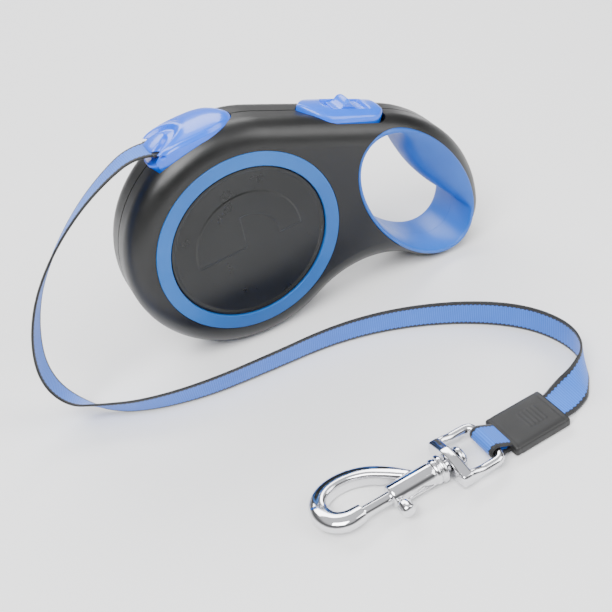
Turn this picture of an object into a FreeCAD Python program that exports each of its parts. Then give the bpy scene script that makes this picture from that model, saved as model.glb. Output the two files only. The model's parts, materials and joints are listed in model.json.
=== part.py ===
import FreeCAD, Part
import math
import os
from FreeCAD import Vector

# Retractable tape leash, standing upright. Millimetres. +Z up, +X towards the hand grip, +Y away from the
# side that carries the brake pawl. Shapes are made with X measured from the drum axis, and save() moves
# them so that the origin lies under the middle of the casing.

# ---- casing outline -------------------------------------------------------------------------------
housing_r = 56.8        # round housing
handle_end_r = 25.0     # round lower end of the handle
handle_side_r = 66.0    # long outer side of the handle
handle_end_x = 100.3    # lower end's centre, from the drum axis
waist_r = 46.0          # hollow between the housing and the handle
foot_flat = 0.4         # depth of the flats that the casing stands on
half_depth = 17.0       # half of the casing's thickness
rim_fillet = 11.0       # rounding of the casing's rim
wall = 2.6              # shell wall
seam_groove = 0.35      # groove along the joint of the two shells
seam_half = 0.3

# ---- hand grip opening ----------------------------------------------------------------------------
grip_x = 88.3
grip_z = 43.8
grip_long = 43.8        # half axes of the opening in the shells
grip_short = 25.4
grip_tilt = -60.0
grip_skin = 3.2         # lining's thickness away from the finger pad
grip_pad_height = 16.0  # how far the finger pad stands into the opening
grip_pad_r = 80.0       # roundness of the finger pad
grip_pad_turn = 27.0    # direction of the finger pad, from +X
lining_inset = 0.5      # lining ends this far below the casing's faces

# ---- side trim ------------------------------------------------------------------------------------
ring_outer_r = 45.0
ring_inner_r = 38.3
ring_sunk = 1.4
ring_proud = 0.25
trim_gap = 0.25         # dark joint line round each trim piece
disc_thick = 0.8
trim_edge = 0.3         # rounding of the ring's and the disc's edges

# ---- drum -----------------------------------------------------------------------------------------
tape_width = 15.0
tape_thick = 1.1
tape_wound = 4350.0     # length left on the drum
hub_r = 26.0
hub_wall = 2.0
flange_r = 51.5
flange_thick = 1.6
tape_side_gap = 0.4
tape_joint_gap = 0.1
tooth_count = 16
notch_depth = 2.6
notch_width = 8.2
axle_r = 4.0
axle_fit = 0.05         # running clearance of the bushes on the axle
bush_r = 6.0
bush_flange_r = 7.5
bush_flange_thick = 0.5
end_float = 0.15
end_plate_bore_r = 14.0
drum_screw_pcd = 40.0
drum_screw_count = 4
boss_wall = 3.0
axle_screw_r = 1.5
axle_screw_head_r = 3.2
axle_screw_head = 1.1
axle_screw_length = 9.0

# ---- power spring ---------------------------------------------------------------------------------
strip_thick = 0.5
strip_width = 10.0
strip_pitch = 1.6
strip_side_gap = 0.5
spring_gap = 0.4

# ---- tape outlet ----------------------------------------------------------------------------------
nozzle_middle = 101.0   # direction of its middle from the drum axis, degrees
nozzle_length = 40.0
nozzle_half_width = 12.2
nozzle_rise = 5.2       # how far its front stands out of the casing
nozzle_rear_rise = 1.6
nozzle_edge = 1.6
nozzle_fit = 0.15
slot_height = 2.4
slot_width = 16.4
mouth_x = -29.5         # where the tape leaves the outlet
mouth_z = 110.3
mouth_depth = 7.0
mouth_rise = 0.1        # slopes of the flared mouth
mouth_drop = 0.45

# ---- brake button ---------------------------------------------------------------------------------
button_start_x = 40.0
button_length = 42.5
button_half_width = 12.0
button_nose = 15.0      # length of the pointed front
button_corner = 6.5
button_rise = 2.8
button_edge = 1.1
button_gap = 0.45
press_angle = 5.0
pocket_depth = 3.4
button_stop_gap = 0.3
pin_along = 4.0
pin_r = 1.2
pin_fit = 0.06
pin_cover = 0.5         # wall between the pin's hole and the pocket's floor
pin_half_length = 8.0
button_lug_half = 3.2
lug_wall = 1.5
lug_side_gap = 0.35
well_start = 13.0
well_length = 21.0
well_half_width = 5.6
well_depth = 1.6
slider_length = 16.4
slider_gap = 0.3
slider_fin_height = 3.6
slider_fin_length = 4.2
slider_rib_count = 4
slider_rib = 0.5
slider_fin_start = 6.0
slider_fin_inset = 0.6
slider_fin_round = 1.3
slider_rib_start = 11.6
slider_rib_pitch = 1.2
slider_rib_inset = 0.8
slider_rib_height = 0.7
slider_proud = 0.2
slider_floor_gap = 0.05

# ---- brake pawl -----------------------------------------------------------------------------------
pawl_direction = 28.0
pawl_rest_gap = 0.4
pawl_length = 11.0
pawl_width = 4.4
pawl_thick = 4.0
pawl_side = -8.7
pawl_shoulder = 2.0
pawl_shoulder_width = 9.2
pawl_guide_thick = 1.8
pawl_guide_half = 6.5
pawl_guide_start = 3.0
pawl_gap = 0.25
leg_thick = 3.4
leg_gap = 0.35
leg_half_width = 2.4
leg_set_back = 0.4      # stem's start before the leg's middle
leg_room = 0.6          # cleared round the leg in the shells, for the button's travel
neck_half = 12.6

# ---- coil springs ---------------------------------------------------------------------------------
wire_r = 0.28
spring_end_gap = 0.1
pawl_spring_r = 3.5
pawl_spring_turns = 3
button_spring_r = 2.3
button_spring_turns = 3
button_spring_along = 38.0
spring_spare = 0.3      # left in the button's spring when the button is fully down
spring_seat_gap = 0.3
spring_lift = 0.02

# ---- fasteners ------------------------------------------------------------------------------------
screw_r = 1.1
screw_free_r = 1.25
screw_head_r = 1.9
screw_head = 2.0
screw_seat = 10.0
screw_reach = 8.0
screw_boss_r = 3.1
drum_screw_r = 1.0
drum_screw_head_r = 1.9
drum_screw_head = 0.4
drum_screw_length = 5.0

# ---- free tape: centre line and the direction of its edge, both from end to end --------------------
tape_route = [
    (-29.5, 0, 110.3), (-37, 0, 111.6), (-50, -0.5, 106.5), (-66, -1.3, 96.8), (-82, -2.4, 82.5),
    (-95.5, -4, 65.5), (-104, -6.5, 46), (-106.5, -8, 27), (-101, -11.5, 12.1), (-89, -20, 6.5),
    (-72, -31.8, 7.2), (-45, -39.5, 7.6), (-12, -41.5, 7.7), (22, -42.3, 7.7), (52, -50.8, 7.7),
    (80, -67, 7.7), (99, -86, 7.7), (106.8, -107, 7.7), (103, -123, 7.7), (92, -132.2, 6.9),
    (84.5, -133.7, 4.1), (78.5, -134.7, 2.8), (74, -135.1, 2.6),
]
tape_edge = [
    (0, -1, 0), (0, -1, 0.12), (-0.1, -1, 0.2), (-0.2, -0.95, 0.25), (-0.3, -0.91, 0.28),
    (-0.38, -0.9, 0.22), (-0.45, -0.88, 0.1), (-0.38, -0.92, 0), (-0.1, -0.95, 0.1), (0.15, -0.72, 0.68),
    (0.1, -0.48, 0.87), (0, -0.32, 0.95), (0, -0.29, 0.96), (0, -0.22, 0.98), (0, -0.15, 0.99),
    (0, -0.08, 1), (0, -0.03, 1), (0, 0.02, 1), (0, 0.25, 0.97), (0, 0.6, 0.8),
    (0, 0.85, 0.52), (-0.05, 1, 0.08), (-0.05, 1, 0),
]

# ---- sleeve, loop, swivel and snap, in their own frame: X from the bar towards the sleeve ----------
lead_x = 41.5           # middle of the swivel's bar
lead_y = -136.8
lead_turn = 3.0
axis_height = 5.7
sleeve_start = 7.0
sleeve_length = 28.3
sleeve_width = 21.2
sleeve_height = 5.2
sleeve_round = 1.8
sleeve_slot_width = 15.8
sleeve_slot_height = 3.4
loop_gap = 0.3
loop_tail = 12.0
bar_r = 1.9
frame_width = 26.0
frame_plate_start = 15.2
plate_thick = 5.2
plate_height = 8.4
plate_round = 1.6
post_r = 2.6
post_fit = 0.08
post_head_r = 4.3
post_head = 2.3
post_head_gap = 0.35
collar_r = 5.6
collar_length = 3.6
collar_gap = 1.2
barrel_r = 4.7
barrel_length = 21.7
bolt_r = 2.6
bolt_fit = 0.08
bolt_reach = 13.0
bolt_travel = 8.0
bolt_tail = 10.0
bolt_seat_gap = 0.3
knob_r = 3.1
knob_neck_r = 1.5
knob_neck_gap = 0.3
knob_height = 12.0
knob_back = 1.8         # knob's centre behind the barrel's front
knob_round = 1.4
knob_clear = 0.5
knob_neck_inset = 3.0
bolt_round = 0.5
bolt_spring_room = 6.0
hook_bend_r = 10.0
hook_back_r = 27.5
hook_back_turn = 63.0
hook_half_width = 4.0
hook_half_height = 3.6
hook_end_length = 1.0
bolt_spring_turns = 5
floor_gap = 0.05        # left under what lies on the floor

# ---- values worked out from the ones above --------------------------------------------------------
drum_z = housing_r - foot_flat
pin_below = pocket_depth + pin_r + pin_cover
press_slope = math.tan(math.radians(press_angle))
button_spring_solid = 2 * wire_r * (button_spring_turns + 1)
spring_seat = button_spring_solid + spring_spare - button_stop_gap - pin_along * press_slope
spring_room = button_stop_gap + button_spring_along * press_slope + spring_seat
snap_roll = -math.degrees(math.asin((axis_height - hook_half_height - floor_gap) / (2 * hook_bend_r)))
handle_end_z = handle_end_r - foot_flat
handle_side_x = handle_end_x + handle_end_r - handle_side_r
casing_right = handle_end_x + handle_end_r
frame_shift = -(casing_right - housing_r) / 2
inner_half = half_depth - wall
cavity_r = housing_r - wall
drum_half = tape_width / 2 + tape_side_gap
flange_face = drum_half + flange_thick
boss_face = flange_face + bush_flange_thick + end_float
pack_r = math.sqrt(hub_r**2 + tape_wound * tape_thick / math.pi)
disc_r = ring_inner_r - trim_gap
trim_floor = half_depth - ring_sunk
web_start = drum_half - flange_thick
X_AXIS = Vector(1, 0, 0)
Y_AXIS = Vector(0, 1, 0)
Z_AXIS = Vector(0, 0, 1)
DRUM = Vector(0, 0, drum_z)
FAR = 400.0             # longer than anything that is cut


# ---- helpers --------------------------------------------------------------------------------------
def at(x, z, y=0.0):
    return Vector(x, y, z)


def polar(centre, radius, degrees):
    a = math.radians(degrees)
    return centre + Vector(radius * math.cos(a), 0, radius * math.sin(a))


def rod(radius, y0, y1, centre):
    """Cylinder along Y."""
    return Part.makeCylinder(radius, y1 - y0, Vector(centre.x, y0, centre.z), Y_AXIS)


def ring(outer, inner, y0, y1, centre):
    return rod(outer, y0, y1, centre).cut(rod(inner, y0, y1, centre))


def prism(face, y0, y1):
    """A face drawn in the plane Y = 0, swept from y0 to y1."""
    moved = face.copy()
    moved.translate(Vector(0, y0, 0))
    return moved.extrude(Vector(0, y1 - y0, 0))


def polygon(points):
    return Part.Face(Part.makePolygon(list(points) + [points[0]]))


def block(x0, x1, y0, y1, z0, z1):
    return Part.makeBox(x1 - x0, y1 - y0, z1 - z0, Vector(x0, y0, z0))


def fuse(shapes):
    whole = shapes[0].fuse(list(shapes[1:]))
    return whole.removeSplitter()


def save(name, shape):
    moved = shape.copy()
    moved.translate(Vector(frame_shift, 0, 0))
    moved.exportStep(os.path.join("parts", name + ".step"))
    print(f"{name:22s} solids {len(moved.Solids)} valid {moved.isValid()} volume {moved.Volume:9.1f}")


def both_sides(half_shape):
    """The same shape on the far side, mirrored in the plane Y = 0."""
    return half_shape.mirror(Vector(0, 0, 0), Y_AXIS)


# ---- casing ---------------------------------------------------------------------------------------
def tangent_direction():
    """Direction, in degrees, of the top line's normal: it touches the housing and the handle's side."""
    dx = handle_side_x
    dz = handle_end_z - drum_z
    gap = math.hypot(dx, dz)
    return math.degrees(math.atan2(dz, dx) + math.acos((housing_r - handle_side_r) / gap))


def waist_centre():
    """Centre of the hollow under the neck, which touches the housing and the handle's end."""
    dx = handle_end_x
    dz = handle_end_z - drum_z
    gap = math.hypot(dx, dz)
    a = housing_r + waist_r
    b = handle_end_r + waist_r
    turn = math.acos((a * a + gap * gap - b * b) / (2 * a * gap))
    return polar(DRUM, a, math.degrees(math.atan2(dz, dx) - turn))


top_normal = tangent_direction()
END = at(handle_end_x, handle_end_z)
SIDE = at(handle_side_x, handle_end_z)
WAIST = waist_centre()
ALONG = Vector(math.sin(math.radians(top_normal)), 0, -math.cos(math.radians(top_normal)))
OUTWARD = Vector(math.cos(math.radians(top_normal)), 0, math.sin(math.radians(top_normal)))


def direction_to(centre, point):
    return math.degrees(math.atan2(point.z - centre.z, point.x - centre.x))


def outline(offset=0.0):
    """The casing's side view as a face, moved outwards by offset."""
    waist_left = direction_to(DRUM, WAIST)
    waist_right = direction_to(END, WAIST)
    h = housing_r + offset
    e = handle_end_r + offset
    s = handle_side_r + offset
    w = waist_r - offset
    top_left = polar(DRUM, h, top_normal)
    top_right = polar(SIDE, s, top_normal)
    low_left = polar(DRUM, h, waist_left)
    low_right = polar(END, e, waist_right)
    low_crest = polar(WAIST, w, 90)
    right = polar(END, e, 0)
    edges = [
        Part.Arc(top_left, polar(DRUM, h, 180), low_left),
        Part.Arc(low_left, low_crest, low_right),
        Part.Arc(low_right, polar(END, e, -70), right),
        Part.Arc(right, polar(SIDE, s, top_normal / 2), top_right),
        Part.LineSegment(top_right, top_left),
    ]
    return Part.Face(Part.Wire([edge.toShape() for edge in edges]))


def grip_face(inset=0.0):
    """The grip opening in the shells, drawn smaller by inset."""
    ellipse = Part.Ellipse(Vector(0, 0, 0), grip_long - inset, grip_short - inset)
    face = Part.Face(Part.Wire([ellipse.toShape()]))
    face.rotate(Vector(0, 0, 0), X_AXIS, 90)
    face.rotate(Vector(0, 0, 0), Y_AXIS, -grip_tilt)
    face.translate(at(grip_x, grip_z))
    return face


def rounded_body(offset, depth, fillet):
    body = prism(outline(offset), -depth, depth)
    rims = [e for e in body.Edges if abs(abs(e.BoundBox.YMin) - depth) < 1e-4 and e.BoundBox.YLength < 1e-4]
    return body.makeFillet(fillet, rims)


def on_top(along, out, y=0.0):
    """A point by its distance along the button and out of the casing's top line."""
    start = polar(DRUM, housing_r, top_normal)
    run = (button_start_x - start.x) / ALONG.x
    return start + ALONG * (run + along) + OUTWARD * out + Vector(0, y, 0)


def tilted_box(along0, along1, y0, y1, out0, out1):
    """A box whose length lies along the casing's top line."""
    corners = [on_top(along0, out0), on_top(along1, out0), on_top(along1, out1), on_top(along0, out1)]
    return prism(polygon(corners), y0, y1)


def screw_places():
    return [
        polar(DRUM, housing_r + 0.8, -32.5),
        on_top(-3.8, -4.8),
        polar(SIDE, handle_side_r - 3.4, 20),
    ]


def button_plan(extra=0.0):
    """The button's plan: pointed in front and round-cornered behind, as (along, y) corners."""
    half = button_half_width + extra
    nose = button_nose
    bulge = 0.72
    front = Vector(-extra, 0, 0)
    left = Vector(nose, -half, 0)
    right = Vector(nose, half, 0)
    back = button_length + extra
    corner = button_corner
    soft = corner * (1 - math.sqrt(0.5))
    edges = [
        Part.Arc(front, Vector(nose * 0.5 - extra * 0.5, -half * bulge, 0), left),
        Part.LineSegment(left, Vector(back - corner, -half, 0)),
        Part.Arc(Vector(back - corner, -half, 0), Vector(back - soft, -half + soft, 0),
                 Vector(back, -half + corner, 0)),
        Part.LineSegment(Vector(back, -half + corner, 0), Vector(back, half - corner, 0)),
        Part.Arc(Vector(back, half - corner, 0), Vector(back - soft, half - soft, 0),
                 Vector(back - corner, half, 0)),
        Part.LineSegment(Vector(back - corner, half, 0), right),
        Part.Arc(right, Vector(nose * 0.5 - extra * 0.5, half * bulge, 0), front),
    ]
    return Part.Face(Part.Wire([edge.toShape() for edge in edges]))


def on_top_prism(plan, out0, out1):
    """A plan drawn in (along, y) swept out of the casing's top line."""
    solid = plan.extrude(Vector(0, 0, out1 - out0))
    solid.translate(Vector(0, 0, out0))
    solid.rotate(Vector(0, 0, 0), Y_AXIS, 90 - top_normal)
    solid.translate(on_top(0, 0))
    return solid


def pawl_point(radius, across=0.0, y=0.0):
    point = polar(DRUM, radius, pawl_direction)
    side = polar(Vector(0, 0, 0), across, pawl_direction + 90)
    return point + side + Vector(0, y, 0)


def pawl_box(r0, r1, half_across, y0, y1):
    corners = [
        pawl_point(r0, -half_across), pawl_point(r1, -half_across),
        pawl_point(r1, half_across), pawl_point(r0, half_across),
    ]
    return prism(polygon(corners), y0, y1)


pawl_tip = flange_r + pawl_rest_gap
pawl_back = pawl_tip + pawl_length
guide_r = pawl_tip + pawl_guide_start
PIN = on_top(pin_along, -pin_below)


def nozzle_centre(radius):
    return polar(DRUM, radius, nozzle_middle)


def nozzle_outline(extra=0.0):
    """The outlet's plan as a face, its round back drawn as half an ellipse."""
    half = nozzle_half_width + extra
    front = -nozzle_length / 2 - extra
    back = nozzle_length / 2 + extra
    swing = back - front * 0.1
    ellipse = Part.Ellipse(Vector(front * 0.1, 0, 0), swing, half)
    tail = Part.ArcOfEllipse(ellipse, -math.pi / 2, math.pi / 2)
    mouth = half * 0.86
    start = Vector(front * 0.1, half, 0)
    corner = Vector(front, mouth, 0)
    corner_low = Vector(front, -mouth, 0)
    end = Vector(front * 0.1, -half, 0)
    edges = [
        tail.toShape(),
        Part.Arc(start, Vector(front * 0.55, half * 0.97, 0), corner).toShape(),
        Part.Arc(corner, Vector(front - half * 0.14, 0, 0), corner_low).toShape(),
        Part.Arc(corner_low, Vector(front * 0.55, -half * 0.97, 0), end).toShape(),
    ]
    return Part.Face(Part.Wire(Part.__sortEdges__(edges)))


def nozzle_prism(extra, r0, r1):
    """The outlet's plan swept away from the drum axis; its mouth end points along the tape's way out."""
    solid = nozzle_outline(extra).extrude(Vector(0, 0, r1 - r0))
    solid.translate(Vector(0, 0, r0))
    solid.rotate(Vector(0, 0, 0), Y_AXIS, 90 - nozzle_middle)
    solid.translate(DRUM)
    return solid


def seam_cut():
    groove = prism(outline(1.0), -seam_half, seam_half)
    return groove.cut(prism(outline(-seam_groove), -seam_half, seam_half))


def neck_room():
    """Room in the neck for the brake, from the drum to under the button."""
    right = on_top(30, 0).x
    room = rounded_body(-wall, inner_half, rim_fillet - wall)
    room = room.cut(prism(grip_face(-wall), -neck_half, neck_half))
    return room.common(block(0, right, -neck_half, neck_half, foot_flat, FAR))


def trim_pockets(side):
    y0, y1 = sorted((side * trim_floor, side * (half_depth + 1)))
    return rod(ring_outer_r + trim_gap, y0, y1, DRUM)


def make_casing():
    body = rounded_body(0.0, half_depth, rim_fillet)
    body = body.common(block(-FAR, FAR, -half_depth, half_depth, 0, FAR))
    outside = body
    drum_room = rod(cavity_r, -inner_half, inner_half, DRUM)
    drum_room = drum_room.makeFillet(rim_fillet - wall, [e for e in drum_room.Edges if len(e.Vertexes) == 1])
    body = body.cut([drum_room, neck_room(), prism(grip_face(), -FAR, FAR), seam_cut()])
    bosses = [rod(screw_boss_r, -inner_half, inner_half, p) for p in screw_places()[:2]]
    axle_boss = rod(axle_r + boss_wall, boss_face, inner_half + 0.5, DRUM)
    bosses += [axle_boss, both_sides(axle_boss)]
    pin_boss = rod(pin_r + lug_wall, button_lug_half + lug_side_gap, neck_half + 0.5, PIN)
    bosses += [pin_boss, both_sides(pin_boss)]
    guide = pawl_box(guide_r, guide_r + pawl_guide_thick, pawl_guide_half, -neck_half - 0.5, pawl_side + 5)
    bosses.append(guide)
    body = body.fuse([boss.common(outside) for boss in bosses])
    lead_room = prism(slot_profile(slot_height), -slot_width / 2, slot_width / 2)
    cuts = [
        trim_pockets(1), trim_pockets(-1), lead_room, brake_leg(leg_room),
        nozzle_prism(nozzle_fit, cavity_r / 2, FAR / 4),
        on_top_prism(button_plan(button_gap), -pocket_depth, FAR / 4),
        rod(axle_r, -inner_half + 0.6, inner_half - 0.6, DRUM),
        rod(pin_r, -pin_half_length, pin_half_length, PIN),
        pawl_box(pawl_tip - 5, pawl_back + 5, pawl_width / 2 + pawl_gap,
                 pawl_side - pawl_thick / 2 - pawl_gap, pawl_side + pawl_thick / 2 + pawl_gap),
        rod(axle_screw_r + 0.1, 0, FAR, DRUM),
        rod(axle_screw_head_r + 0.1, trim_floor - axle_screw_head, FAR, DRUM),
    ]
    for place in screw_places():
        cuts.append(rod(screw_r, -screw_reach, 0, place))
        cuts.append(rod(screw_free_r, 0, FAR, place))
        cuts.append(rod(screw_head_r + 0.1, screw_seat, FAR, place))
    body = body.cut(cuts)
    near = body.common(block(-FAR, FAR, -FAR, 0, -FAR, FAR)).removeSplitter()
    far = body.common(block(-FAR, FAR, 0, FAR, -FAR, FAR)).removeSplitter()
    return largest(near), largest(far)


def largest(shape):
    return max(shape.Solids, key=lambda solid: solid.Volume)


def make_trim(side):
    """The coloured ring and the plain disc inside it, on one side of the casing."""
    inlay = ring(ring_outer_r, ring_inner_r, trim_floor, half_depth + ring_proud, DRUM)
    rims = [e for e in inlay.Edges if abs(e.BoundBox.YMin - half_depth - ring_proud) < 1e-4]
    inlay = inlay.makeFillet(trim_edge, rims)
    disc = rod(disc_r, trim_floor, trim_floor + disc_thick, DRUM)
    rims = [e for e in disc.Edges if len(e.Vertexes) == 1 and e.BoundBox.YMin > trim_floor + disc_thick / 2]
    disc = disc.makeChamfer(trim_edge, rims)
    if side < 0:
        return both_sides(inlay), both_sides(disc)
    return inlay, disc


def make_lining():
    """The soft lining of the grip: a skin all round and a finger pad on the outer side."""
    depth = half_depth - lining_inset
    turn = grip_pad_turn
    reach = grip_short - grip_pad_height + grip_pad_r
    pad_centre = polar(at(grip_x, grip_z), reach, turn)
    pad = rod(grip_pad_r, -depth, depth, pad_centre)
    hole = largest(prism(grip_face(grip_skin), -depth, depth).cut(pad))
    return prism(grip_face(), 0, depth).cut(hole)


# ---- drum -----------------------------------------------------------------------------------------
def toothed_flange():
    flange = rod(flange_r, -flange_face, -drum_half, DRUM)
    notches = []
    for tooth in range(tooth_count):
        notch = block(flange_r - notch_depth, flange_r + 5, -FAR, FAR, -notch_width / 2, notch_width / 2)
        notch.rotate(Vector(0, 0, 0), Y_AXIS, -(pawl_direction + tooth * 360 / tooth_count))
        notch.translate(DRUM)
        notches.append(notch)
    return flange.cut(notches)


def drum_screw_places():
    step = 360 / drum_screw_count
    return [polar(DRUM, drum_screw_pcd / 2, 45 + n * step) for n in range(drum_screw_count)]


def make_drum():
    spring_r = hub_r - hub_wall
    hub = rod(hub_r, -flange_face, drum_half, DRUM)
    drum = hub.fuse(toothed_flange())
    cuts = [
        rod(spring_r, -flange_face, web_start, DRUM),
        rod(bush_r, -FAR, FAR, DRUM),
    ]
    drum = drum.cut(cuts)
    pads = [rod(drum_screw_r + 1.3, web_start - 3.2, drum_half, p) for p in drum_screw_places()]
    drum = drum.fuse(pads).removeSplitter()
    pilots = [rod(drum_screw_r, drum_half - drum_screw_length + 0.9, FAR, p) for p in drum_screw_places()]
    return drum.cut(pilots)


def make_end_plate():
    plate = ring(flange_r, end_plate_bore_r, drum_half, flange_face, DRUM)
    holes = [rod(drum_screw_r + 0.1, -FAR, FAR, p) for p in drum_screw_places()]
    seat = flange_face - drum_screw_head
    sinks = [rod(drum_screw_head_r + 0.1, seat, FAR, p) for p in drum_screw_places()]
    return plate.cut(holes + sinks)


def make_drum_screws():
    screws = []
    for place in drum_screw_places():
        seat = flange_face - drum_screw_head
        shank = rod(drum_screw_r, seat - drum_screw_length + 1.6, seat, place)
        head = rod(drum_screw_head_r, seat, flange_face, place)
        screws.append(shank.fuse(head).removeSplitter())
    return Part.makeCompound(screws)


def make_spring_cover():
    cover = ring(hub_r - hub_wall, bush_r, -flange_face, -flange_face + flange_thick, DRUM)
    return cover


def make_bush(inner_end, outer_face):
    """Flanged bush; outer_face is the drum face that its flange lies on, on the +Y side."""
    sleeve = ring(bush_r, axle_r + axle_fit, inner_end, outer_face, DRUM)
    flange = ring(bush_flange_r, axle_r + axle_fit, outer_face, outer_face + bush_flange_thick, DRUM)
    return sleeve.fuse(flange).removeSplitter()


def spiral_strip():
    """Flat spiral spring, as half turns about two centres."""
    first = axle_r + spring_gap
    last = hub_r - hub_wall - 0.15
    halves = int((last - first - strip_thick - strip_pitch / 2) / (strip_pitch / 2))
    edges_in = []
    edges_out = []
    for n in range(halves):
        shift = 0.0 if n % 2 == 0 else strip_pitch / 2
        radius = first + n * strip_pitch / 2
        sign = 1 if n % 2 == 0 else -1
        centre = at(shift, 0)
        for edges, r in ((edges_in, radius), (edges_out, radius + strip_thick)):
            start = centre + at(sign * r, 0)
            middle = centre + at(0, sign * r)
            end = centre + at(-sign * r, 0)
            edges.append(Part.Arc(start, middle, end).toShape())
    start_cap = Part.makeLine(edges_in[0].firstVertex().Point, edges_out[0].firstVertex().Point)
    inner_end = edges_in[-1].lastVertex().Point
    outer_end = edges_out[-1].lastVertex().Point
    end_cap = Part.makeLine(inner_end, outer_end)
    wire = Part.Wire(Part.__sortEdges__(edges_in + edges_out + [start_cap, end_cap]))
    solid = prism(Part.Face(wire), -strip_width / 2, strip_width / 2)
    solid.translate(DRUM + Vector(0, strip_width / 2 + strip_side_gap - drum_half, 0))
    return solid


def make_axle():
    axle = rod(axle_r, -inner_half + 0.6, inner_half - 0.6, DRUM)
    thread = rod(axle_screw_r, inner_half - 0.6 - axle_screw_length, FAR, DRUM)
    return axle.cut(thread)


def make_axle_screw():
    head_top = trim_floor - 0.1
    seat = trim_floor - axle_screw_head
    shank = rod(axle_screw_r, inner_half - axle_screw_length + 1, seat, DRUM)
    head = rod(axle_screw_head_r, seat, head_top, DRUM)
    drive = block(-2.2, 2.2, head_top - 0.6, head_top + 1, -0.35, 0.35)
    drive.translate(DRUM)
    return shank.fuse(head).removeSplitter().cut(drive)


def make_casing_screws():
    screws = []
    for place in screw_places():
        shank = rod(screw_r, -screw_reach, screw_seat, place)
        head = rod(screw_head_r, screw_seat, screw_seat + screw_head, place)
        slot = block(-1.6, 1.6, screw_seat + screw_head - 0.9, FAR, -0.35, 0.35)
        cross = slot.copy()
        cross.rotate(Vector(0, 0, 0), Y_AXIS, 90)
        slot.translate(place)
        cross.translate(place)
        screws.append(shank.fuse(head).removeSplitter().cut([slot, cross]))
    return Part.makeCompound(screws)


# ---- tape inside the casing, and its outlet --------------------------------------------------------
def lead_line():
    """The straight run of tape from the wound pack to the outlet's mouth: start and end."""
    mouth = at(mouth_x, mouth_z)
    run_r = pack_r + tape_thick / 2 + 0.4
    gap = mouth.sub(DRUM).Length
    turn = direction_to(DRUM, mouth) - math.degrees(math.acos(run_r / gap))
    return polar(DRUM, run_r, turn), mouth


def slot_profile(height):
    start, end = lead_line()
    way = end.sub(start)
    way.normalize()
    side = Vector(-way.z, 0, way.x) * (height / 2)
    start = start - way * 2
    end = end + way * 20
    return polygon([start + side, end + side, end - side, start - side])


def mouth_flare():
    """The mouth opens towards the front, so the tape can lie over at an angle."""
    start, end = lead_line()
    way = end.sub(start)
    way.normalize()
    side = Vector(-way.z, 0, way.x)
    throat = end - way * mouth_depth
    lip = end + way * 20
    spread = mouth_depth + 20
    upper = side * (slot_height / 2)
    return polygon([
        throat + upper, lip + upper + side * (spread * mouth_rise),
        lip - upper - side * (spread * mouth_drop), throat - upper,
    ])


def make_tape_lead():
    start, end = lead_line()
    way = end.sub(start)
    way.normalize()
    side = Vector(-way.z, 0, way.x) * (tape_thick / 2)
    end = end - way * tape_joint_gap
    face = polygon([start + side, end + side, end - side, start - side])
    return prism(face, -tape_width / 2, tape_width / 2)


def make_nozzle():
    """Egg-shaped outlet: its top rises from the casing at the back to a full lip over the mouth."""
    base_r = cavity_r - 0.9
    half = nozzle_length / 2
    back = nozzle_centre(housing_r) + polar(Vector(0, 0, 0), half, nozzle_middle - 90)
    front = nozzle_centre(housing_r) + polar(Vector(0, 0, 0), half * 1.12, nozzle_middle + 90)
    up = polar(Vector(0, 0, 0), 1, nozzle_middle)
    drop = half * half / (2 * housing_r)
    crown = nozzle_centre(housing_r + nozzle_rise)
    rear_top = back + up * (nozzle_rear_rise - drop)
    front_top = front + up * (nozzle_rise - drop - 1.2)
    side_view = Part.Face(Part.Wire([
        Part.Arc(rear_top, crown, front_top).toShape(),
        Part.makeLine(front_top, front - up * 22),
        Part.makeLine(front - up * 22, back - up * 22),
        Part.makeLine(back - up * 22, rear_top),
    ]))
    body = prism(side_view, -FAR / 8, FAR / 8)
    body = body.common(nozzle_prism(0.0, 0, FAR / 2))
    top_edges = []
    for edge in body.Edges:
        low = min((v.Point.sub(DRUM).Length for v in edge.Vertexes), default=0)
        if low > housing_r - 2.5 and edge.Length > 8:
            top_edges.append(edge)
    body = body.makeFillet(nozzle_edge, top_edges)
    body = body.cut(rod(base_r, -FAR, FAR, DRUM))
    body = body.cut(prism(slot_profile(slot_height), -slot_width / 2, slot_width / 2))
    body = body.cut(prism(mouth_flare(), -slot_width / 2, slot_width / 2))
    return largest(body)


# ---- brake ----------------------------------------------------------------------------------------
def button_underside():
    """Everything below the button's underside, which lies flat on the pocket's floor when pressed."""
    slope = press_slope
    base = -pocket_depth + button_stop_gap
    return prism(polygon([
        on_top(-20, base - 20 * slope), on_top(80, base + 80 * slope), on_top(80, -60), on_top(-20, -60),
    ]), -FAR, FAR)


def button_spring_seat():
    """Blind hole in the button's underside that takes the spring when the button is down."""
    radius = button_spring_r + wire_r + spring_seat_gap
    top = on_top(button_spring_along, spring_room - pocket_depth)
    return Part.makeCylinder(radius, spring_room, top, -OUTWARD)


def brake_leg(gap):
    """The leg that pushes the pawl, grown by a gap on every side for the room it moves in."""
    leg_top = pawl_point(pawl_back + leg_gap + leg_thick / 2).sub(on_top(0, 0))
    leg_y0 = pawl_side - pawl_thick / 2 - gap
    leg_y1 = pawl_side + pawl_thick / 2 + gap
    leg = pawl_box(pawl_back + leg_gap - gap, pawl_back + leg_gap + leg_thick + gap,
                   leg_half_width + gap, leg_y0, leg_y1)
    start = leg_top.dot(ALONG) - leg_set_back
    stem = tilted_box(start - gap, start + leg_thick + gap, leg_y0, leg_y1, leg_top.dot(OUTWARD) - gap, 0)
    return leg.fuse(stem)


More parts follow.
